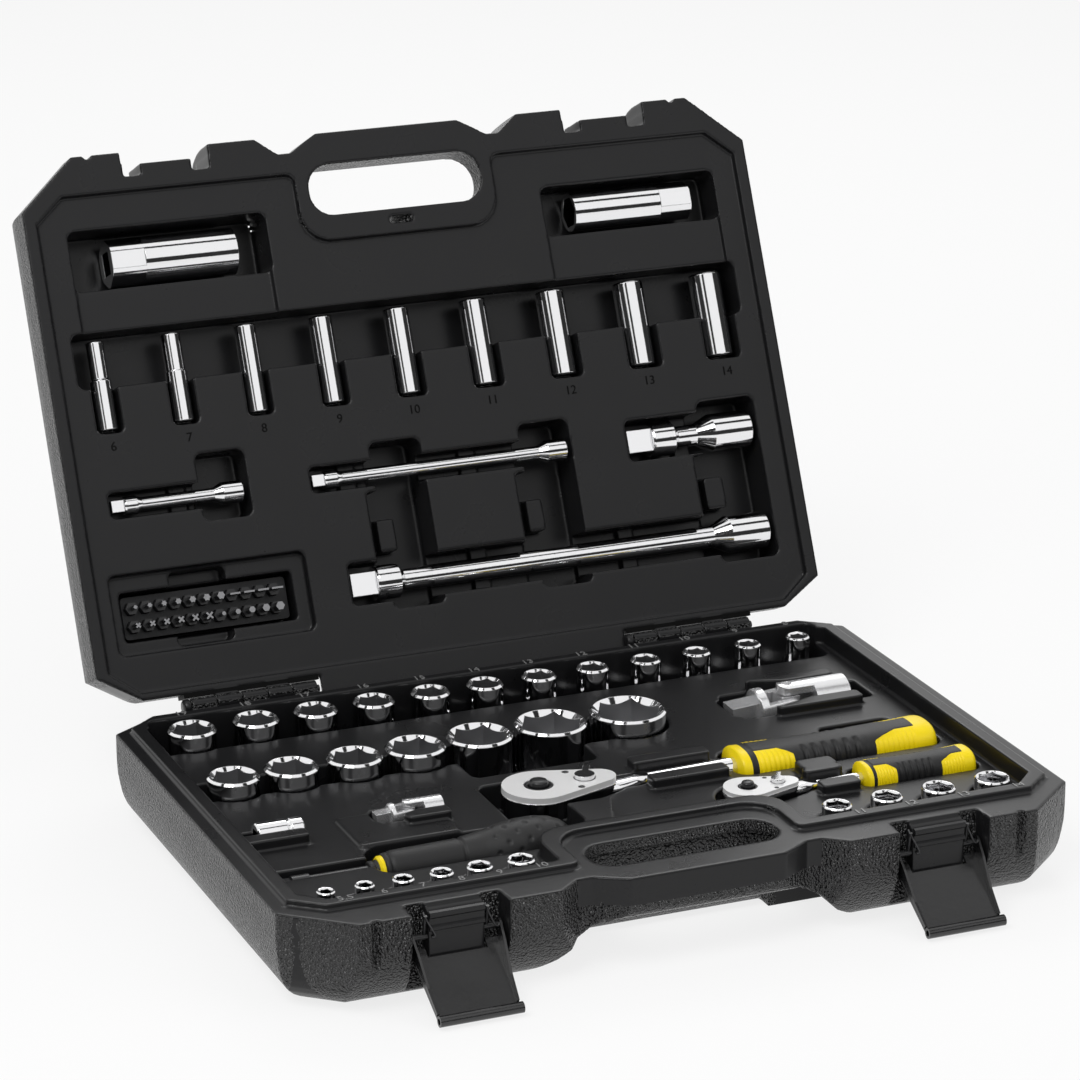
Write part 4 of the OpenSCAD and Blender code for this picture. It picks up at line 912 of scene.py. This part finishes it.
@dataclass
class SizeMarks:
    """Raised plain size numbers beside the sockets: pale grey in the case, a painted highlight for
    their lit edges, and near black in the lid.
    """

    front_y: float = -122.6
    back_y: float = 141.6
    lid_y: float = 10.5
    strip_z: float = 53.0
    lid_z: float = 53.8
    tall: float = 5.2
    raised: float = 0.6
    line_share: float = 1.35
    curve_steps: int = 3
    front_shift: float = 4
    look_down_from: float = 0.2

    def rows(self) -> list[tuple[str, float, float, bool]]:
        """Lists the numbers.

        Returns:
            For each its text, its place along X and along Y, and whether it lies on the lid.
        """
        back = zip((19, 18, 17, 16, 15, 14, 13, 12, 11, 10, 9, 8),
                   (-176, -140, -106, -72.5, -39.5, -7.5, 24.5, 56.5, 88.5, 119.5, 151, 182))
        left = zip(("5.5", 6, 7, 8, 9, 10), (-184, -164, -144, -124, -104, -82))
        right = zip((11, 12, 13, 14), (92, 120.5, 150.5, 182))
        deep = zip((6, 7, 8, 9, 10, 11, 12, 13, 14),
                   (-184, -141, -98, -54, -10, 37, 84.5, 133, 181.5))
        out = [(str(size), x, self.back_y, False) for size, x in back]
        out += [(str(size), x + self.front_shift, self.front_y, False)
                for size, x in (*left, *right)]
        return out + [(str(size), x, self.lid_y, True) for size, x in deep]

    def height(self, base: BVHTree, x: float, y: float) -> float:
        """Height of the base's surface at a place, in millimetres."""
        start = Vector((x * MM, y * MM, self.look_down_from))
        place = base.ray_cast(start, Vector((0, 0, -1)))[0]
        return place.z / MM if place else self.strip_z

    def mark(self, text: str, x: float, y: float, on_lid: bool, base: BVHTree) -> bpy.types.Object:
        """Builds one number.

        Args:
            text: The number.
            x: Its middle along X in millimetres.
            y: Its middle along Y in millimetres, on the shut lid for a lid number.
            on_lid: Whether it lies on the lid.
            base: Surface of the base shell, on which the other numbers lie.

        Returns:
            The number as a mesh.
        """
        curve = bpy.data.curves.new("number", "FONT")
        curve.body = text
        curve.size = self.tall * MM * self.line_share
        curve.extrude = self.raised * MM / 2
        curve.align_x = "CENTER"
        curve.align_y = "CENTER"
        curve.resolution_u = self.curve_steps
        holder = bpy.data.objects.new("number", curve)
        bpy.context.scene.collection.objects.link(holder)
        graph = bpy.context.evaluated_depsgraph_get()
        mesh = bpy.data.meshes.new_from_object(holder.evaluated_get(graph))
        bpy.data.objects.remove(holder)
        if on_lid:
            row = "lid"
            shut = Matrix.Translation(Vector((x, y, self.lid_z)) * MM)
            place = opened() @ shut @ Matrix.Rotation(math.pi, 4, "X")
        else:
            row = "front" if y < 0 else "back"
            place = Matrix.Translation(Vector((x, y, self.height(base, x, y))) * MM)
        mesh.transform(place)
        obj = bpy.data.objects.new(f"mark_{row}_{text.replace('.', '_')}", mesh)
        bpy.context.scene.collection.objects.link(obj)
        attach(obj, "lid" if on_lid else "case")
        return obj

    def build(self, palette: Palette, base: bpy.types.Object) -> None:
        """Builds and dresses every number.

        Args:
            palette: The finishes.
            base: The base shell.
        """
        points = [base.matrix_world @ v.co for v in base.data.vertices]
        surface = BVHTree.FromPolygons(points, [tuple(p.vertices) for p in base.data.polygons])
        for row in self.rows():
            # Case numbers get the pale painted highlight; lid numbers get the near-black finish.
            palette.dress(self.mark(*row, surface), Look.SUNK if row[3] else Look.MARK)


@dataclass
class LatchWires:
    """Bent spring wires in front of each latch block."""

    latch_x: float = 130.5
    wire_r: float = 0.55
    around: int = 10
    cuts: int = 4
    passes: int = 3

    def paths(self) -> dict[str, list[tuple[float, float, float]]]:
        """Routes of the two wires of a latch.

        Returns:
            Points from the latch's middle in millimetres, by the side of the wire.
        """
        return {"left": [(-16.4, -139.8, 46.6), (-16.4, -141.6, 45.6), (-15.8, -143.2, 43.8),
                         (-13.6, -143.3, 39.6), (-11.5, -143.3, 35.6), (-11.9, -143.2, 34.4),
                         (-13.2, -143.1, 34.6)],
                "right": [(15.6, -139.8, 46.4), (15.7, -141.6, 45.2), (16.4, -143.2, 42.4),
                          (18.4, -143.4, 37.6), (19.6, -143.4, 35.4), (21.0, -143.3, 34.9),
                          (22.0, -143.2, 36.0)]}

    def sweep(self, route: list[tuple[float, float, float]], dx: float) -> list[Vector]:
        """Rings of points round a smoothed route.

        Args:
            route: Points of the route.
            dx: Shift along X.

        Returns:
            Points in metres, ring by ring.
        """
        raw = [Vector(p) for p in route]
        fine = []
        for a, b in zip(raw, raw[1:]):
            fine += [a.lerp(b, t / self.cuts) for t in range(self.cuts)]
        fine.append(raw[-1])
        for _ in range(self.passes):
            evened = [(a + 2 * b + c) / 4 for a, b, c in zip(fine, fine[1:], fine[2:])]
            fine = [fine[0], *evened, fine[-1]]
        points = []
        depthwise = Vector((0, 1, 0))
        for i, mid in enumerate(fine):
            ahead = (fine[min(i + 1, len(fine) - 1)] - fine[max(i - 1, 0)]).normalized()
            across = ahead.cross(depthwise).normalized()
            other = ahead.cross(across)
            for k in range(self.around):
                angle = 2 * math.pi * k / self.around
                ring = mid + (across * math.cos(angle) + other * math.sin(angle)) * self.wire_r
                points.append((ring + Vector((dx, 0, 0))) * MM)
        return points

    def build(self, palette: Palette) -> None:
        """Builds and dresses the four wires.

        Args:
            palette: The finishes.
        """
        for latch, dx in (("left", -self.latch_x), ("right", self.latch_x)):
            for side, route in self.paths().items():
                points = self.sweep(route, dx)
                faces = tube_faces(len(points) // self.around, self.around)
                obj = new_mesh(f"wire_{latch}_{side}", points, faces, "case")
                obj.data.shade_smooth()
                palette.dress(obj, Look.DARK)


def block(name: str, low: tuple[float, float, float], high: tuple[float, float, float], body: str,
          place: Matrix) -> bpy.types.Object:
    """Adds a plain block.

    Args:
        name: Name of the piece.
        low: Lowest corner in millimetres.
        high: Highest corner in millimetres.
        body: Body that carries it.
        place: Matrix that carries it to its place.

    Returns:
        The block.
    """
    points = [place @ (Vector((x, y, z)) * MM) for z in (low[2], high[2])
              for y in (low[1], high[1]) for x in (low[0], high[0])]
    faces = [(0, 2, 3, 1), (4, 5, 7, 6), (0, 1, 5, 4), (2, 6, 7, 3), (0, 4, 6, 2), (1, 3, 7, 5)]
    return new_mesh(name, points, faces, body)


@dataclass
class HingeBacks:
    """Near-black plates on the lid that close the view past the hinge knuckles as painted shade in
    that gap, and the pins' end caps.
    """

    hinge_x: float = 130.0
    half: float = 38.5
    cap_x: float = 40.2
    wall_y: float = 149.0
    sink: float = 0.6
    thick: float = 2.1
    foot_z: float = 50.15
    head_z: float = 62.0

    def build(self, palette: Palette) -> None:
        """Builds and dresses the plates and caps.

        Args:
            palette: The finishes.
        """
        cap = [(0.1, 0.0), (3.6, 0.0), (4.5, 0.8), (4.5, 3.4), (4.2, 3.8), (0.1, 3.8)]
        for side, middle in (("left", -self.hinge_x), ("right", self.hinge_x)):
            low = (middle - self.half, self.wall_y - self.sink, self.foot_z)
            high = (middle + self.half, self.wall_y + self.thick, self.head_z)
            plate = block(f"hinge_back_{side}", low, high, "lid", opened())
            # The near-black plate is painted shade: a dark sheet where the gap behind the knuckles
            # lies in shade.
            palette.dress(plate, Look.SUNK)
            place = (middle - self.cap_x, HINGE_Y / MM, BASE_H / MM)
            end = Turned(f"hinge_cap_{side}", "case", "case_plastic", Look.TRAY, cap, place,
                         along_x=True, around=32)
            palette.dress(end.mesh(), end.look)


@dataclass
class LatchBlocks:
    """Stepped face of the block between each latch's flanges."""

    latch_x: float = 130.5
    half: float = 14.2
    face_y: float = -142.0

    def outline(self) -> list[tuple[float, float]]:
        """Profile in front of the block's face: distance forward and height, in millimetres."""
        return [(-0.5, 47.6), (1.2, 47.2), (1.8, 46.2), (1.6, 44.8), (0.5, 43.8), (0.3, 40.6),
                (1.5, 39.6), (1.7, 38.2), (0.6, 37.4), (-0.5, 37.2)]

    def build(self, palette: Palette) -> None:
        """Builds and dresses both faces.

        Args:
            palette: The finishes.
        """
        outline = self.outline()
        count = len(outline)
        for side, middle in (("left", -self.latch_x), ("right", self.latch_x)):
            points = [Vector((x, self.face_y - ahead, z)) * MM
                      for x in (middle - self.half, middle + self.half) for ahead, z in outline]
            faces = [(k, (k + 1) % count, count + (k + 1) % count, count + k) for k in range(count)]
            faces += [tuple(reversed(range(count))), tuple(range(count, 2 * count))]
            obj = new_mesh(f"latch_block_{side}", points, faces, "case")
            palette.dress(obj, Look.TRAY)


def dark_inside(obj: bpy.types.Object, palette: Palette) -> None:
    """Gives the inner faces and inner floor of an upright socket a broached steel finish: a duller
    gloss of its own, and a darker colour that is painted shade in the bore.

    Args:
        obj: The socket.
        palette: The finishes.
    """
    palette.dress(obj, Look.CHROME, Look.BROACHED)
    corners = [Vector(c) for c in obj.bound_box]
    middle = sum(corners, Vector()) / 8
    top = max(c.z for c in corners)
    for poly in obj.data.polygons:
        out = poly.center - middle
        outward = poly.normal.x * out.x + poly.normal.y * out.y
        inward = outward < BORE_LEAN * out.length and abs(poly.normal.z) < UPRIGHT
        floor = poly.normal.z > LEVEL and poly.center.z < top - FLOOR_DEPTH
        poly.material_index = 1 if inward or floor else 0


def bare_tips(obj: bpy.types.Object, palette: Palette) -> None:
    """Gives the front faces of the screwdriver bits a bare steel finish.

    Args:
        obj: The bits.
        palette: The finishes.
    """
    palette.dress(obj, Look.BLACKENED, Look.TIP)
    front = opened().to_3x3() @ Vector((0, 0, -1))
    place = obj.matrix_world
    turn = place.to_3x3()
    reach = [(place @ poly.center).dot(front) for poly in obj.data.polygons]
    nearest = max(reach) - TIP_DEPTH
    for poly, ahead in zip(obj.data.polygons, reach):
        facing = (turn @ poly.normal).dot(front) > TIP_FACING
        poly.material_index = 1 if facing and ahead > nearest else 0


@dataclass(frozen=True)
class Lamp:
    """Square soft lamp that faces the middle of the set."""

    name: str
    place: tuple[float, float, float]
    size: float
    power: float
    glossy: bool = True
    aim: tuple[float, float, float] = (0.0, 0.0, 0.1)

    def build(self) -> None:
        """Adds the lamp, which polished metal shows only where glossy is set."""
        data = bpy.data.lights.new(self.name, "AREA")
        data.shape = "SQUARE"
        data.size = self.size
        data.energy = self.power
        obj = bpy.data.objects.new(self.name, data)
        obj.visible_glossy = self.glossy
        back = Vector(self.place) - Vector(self.aim)
        turn = back.to_track_quat("Z", "Y").to_matrix().to_4x4()
        obj.matrix_world = Matrix.Translation(self.place) @ turn
        bpy.context.scene.collection.objects.link(obj)


@dataclass
class Studio:
    """Camera, pale floor, white sky with dark screens, and soft lamps.

    Screens are given in degrees: the low one by its middle height and half height, the upright
    ones by their middle direction and half width.
    """

    eye: tuple[float, float, float] = (-0.8123, -1.8747, 0.8683)
    forward: tuple[float, float, float] = (0.36564, 0.87302, -0.32270)
    right: tuple[float, float, float] = (0.92206, -0.38703, -0.00231)
    lens: float = 140.81
    sensor: float = 36.0
    sight: float = 30.0
    floor_size: float = 9.0
    floor_tones: tuple[float, float] = (0.86, 0.88)
    floor_speck: float = 60.0
    floor_glow: float = 0.8
    sky: float = 0.55
    low_screen: tuple[float, float] = (12.0, 10.0)
    low_screen_back: float = 0.25
    screens: tuple[tuple[float, float], ...] = ((-80.0, 15.0), (-37.0, 8.0), (56.0, 10.0))
    screens_foot: float = 2.0
    screen_tone: float = 0.03

    def camera(self) -> None:
        """Places the camera at the viewing angle."""
        data = bpy.data.cameras.new("camera")
        data.lens = self.lens
        data.sensor_width = self.sensor
        data.clip_end = self.sight
        obj = bpy.data.objects.new("camera", data)
        forward = Vector(self.forward).normalized()
        right = Vector(self.right).normalized()
        up = right.cross(forward)
        turn = Matrix((right, up, -forward)).transposed().to_4x4()
        obj.matrix_world = Matrix.Translation(self.eye) @ turn
        bpy.context.scene.collection.objects.link(obj)
        bpy.context.scene.camera = obj

    def floor(self) -> None:
        """Adds the pale floor, which keeps the shadow and reads as white."""
        mesh = bpy.data.meshes.new("floor")
        half = self.floor_size / 2
        corners = [(-half, -half, 0), (half, -half, 0), (half, half, 0), (-half, half, 0)]
        mesh.from_pydata(corners, [], [(0, 1, 2, 3)])
        obj = bpy.data.objects.new("floor", mesh)
        bpy.context.scene.collection.objects.link(obj)
        tree = NodeTree(bpy.data.materials.new("floor_white"))
        speck = tree.add("TexNoise", Scale=self.floor_speck)
        darker, lighter = (blend((1.0, 1.0, 1.0), level) for level in self.floor_tones)
        tone = tree.add("MixRGB", Color1=darker, Color2=lighter)
        tree.link(speck.outputs[0], tone.inputs[0])
        matt = tree.add("BsdfDiffuse")
        tree.link(tone.outputs[0], matt.inputs["Color"])
        glow = tree.add("Emission", Strength=1.0)
        share = tree.calculate("MULTIPLY", tree.seen_white(), self.floor_glow)
        mixed = tree.add("MixShader")
        tree.link(share, mixed.inputs[0])
        tree.link(matt.outputs[0], mixed.inputs[1])
        tree.link(glow.outputs[0], mixed.inputs[2])
        tree.close(mixed)
        obj.data.materials.append(tree.owner)

    def dark_bands(self, tree: NodeTree) -> bpy.types.NodeSocket:
        """Dark screens round the white studio, as polished metal shows them.

        Args:
            tree: Node tree of the world.

        Returns:
            Output that is one inside a screen, else zero.
        """
        toward = tree.add("TexCoord").outputs["Generated"]
        parts = tree.add("SeparateXYZ")
        tree.link(toward, parts.inputs[0])
        x, y, z = parts.outputs
        behind = tree.calculate("MULTIPLY", y, -1.0)
        turn = tree.calculate("DEGREES", tree.calculate("ARCTAN2", x, behind))
        lift = tree.calculate("DEGREES", tree.calculate("ARCSINE", z))
        low = tree.calculate("COMPARE", lift, *self.low_screen)
        front = tree.calculate("LESS_THAN", y, self.low_screen_back)
        dark = tree.calculate("MULTIPLY", low, front)
        for middle, half in self.screens:
            within = tree.calculate("COMPARE", turn, middle, half)
            above = tree.calculate("GREATER_THAN", lift, self.screens_foot)
            dark = tree.calculate("MAXIMUM", dark, tree.calculate("MULTIPLY", within, above))
        return dark

    def world(self) -> None:
        """Sets a soft grey sky, white to the camera, and white between dark screens to metal."""
        world = bpy.data.worlds.new("world")
        bpy.context.scene.world = world
        tree = NodeTree(world)
        plain = tree.add("Background", Color=(1, 1, 1, 1), Strength=self.sky)
        white = tree.add("Background", Color=(1, 1, 1, 1))
        glossy = tree.add("LightPath").outputs["Is Glossy Ray"]
        screened = tree.calculate("MULTIPLY", self.dark_bands(tree), glossy)
        level = tree.add("MapRange", To_Min=1.0, To_Max=self.screen_tone)
        tree.link(screened, level.inputs["Value"])
        tree.link(level.outputs[0], white.inputs["Strength"])
        mixed = tree.add("MixShader")
        tree.link(tree.seen_white(), mixed.inputs[0])
        tree.link(plain.outputs[0], mixed.inputs[1])
        tree.link(white.outputs[0], mixed.inputs[2])
        tree.close(mixed)

    def build(self) -> None:
        """Builds camera, floor, world and lamps."""
        self.camera()
        self.floor()
        self.world()
        for lamp in (Lamp("key", (-0.9, -0.6, 1.6), 0.9, 14.0),
                     Lamp("fill", (1.4, -1.2, 1.0), 1.2, 8.0, glossy=False),
                     Lamp("back", (0.6, 1.6, 1.5), 1.0, 9.0)):
            lamp.build()
        bpy.context.scene.view_settings.view_transform = "Standard"


def grip_box(size: str) -> tuple[Vector, Vector]:
    """Finds the box of both grip nodes of a ratchet.

    Args:
        size: Size of the ratchet.

    Returns:
        Lowest and highest corner.
    """
    low_a, high_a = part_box(f"ratchet_{size}_grip")
    low_b, high_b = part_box(f"ratchet_{size}_grip_inlay")
    low = Vector(min(a, b) for a, b in zip(low_a, low_b))
    return low, Vector(max(a, b) for a, b in zip(high_a, high_b))


def build_handles(palette: Palette) -> None:
    """Builds and dresses the ratchets' grips, heads and shoulders, and the spinner's grip.

    Args:
        palette: The finishes.
    """
    for size, pitch in (("half", 2.9 * MM), ("quarter", 1.75 * MM)):
        grip = RatchetGrip(size, pitch).mesh(*grip_box(size))
        palette.dress(grip, Look.RUBBER, Look.YELLOW)
        log.info("%s: %d faces", grip.name, len(grip.data.polygons))
    spinner = SpinnerGrip().mesh(*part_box("spinner_grip"))
    palette.dress(spinner, Look.RUBBER)
    log.info("%s: %d faces", spinner.name, len(spinner.data.polygons))
    for head in (RatchetHead("half", (-35, -16), 19.5, 20),
                 RatchetHead("quarter", (63, -60), 13, 13)):
        head.build(palette)
        log.info("%s head trim", head.size)
    half_neck = [(1, 8.3, 30, 45.2), (8, 8.2, 30.3, 45.3), (12, 7.4, 31.5, 45.4),
                 (18, 6.3, 33.5, 45.5), (26, 5.7, 34.4, 45.6)]
    quarter_neck = [(87, 5.5, 36.4, 46.2), (91.5, 5.4, 36.8, 46.1), (95, 4.7, 37.6, 46),
                    (102, 3.7, 38.4, 45.6)]
    NeckShoulder("half", -16, half_neck).build(palette)
    NeckShoulder("quarter", -60, quarter_neck).build(palette)
    log.info("neck shoulders")


def main() -> None:
    """Builds the whole scene."""
    logging.basicConfig(level=logging.INFO)
    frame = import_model()
    Studio().build()
    palette = Palette()
    for name, obj in frame["nodes"].items():
        palette.dress(obj, look_of(name))
    shells = [SoftShell("base_shell", "case", Matrix.Identity(4)),
              SoftShell("lid_shell", "lid", opened().inverted())]
    for shell in shells:
        piece = shell.mesh(frame)
        shell.dress(piece, palette)
        log.info("%s: %d faces", piece.name, len(piece.data.polygons))
    build_handles(palette)
    SpinnerTrim().build(palette)
    log.info("spinner guard and collar")
    bare_tips(frame["nodes"]["bits"], palette)
    log.info("bit tips")
    for name, obj in frame["nodes"].items():
        if name.startswith("socket_"):
            dark_inside(obj, palette)
    log.info("socket bores")
    SizeMarks().build(palette, frame["nodes"]["base_shell"])
    log.info("size numbers")
    LatchWires().build(palette)
    LatchBlocks().build(palette)
    log.info("latch wires and blocks")
    HingeBacks().build(palette)
    log.info("hinge plates and caps")


if __name__ == "__main__":
    main()
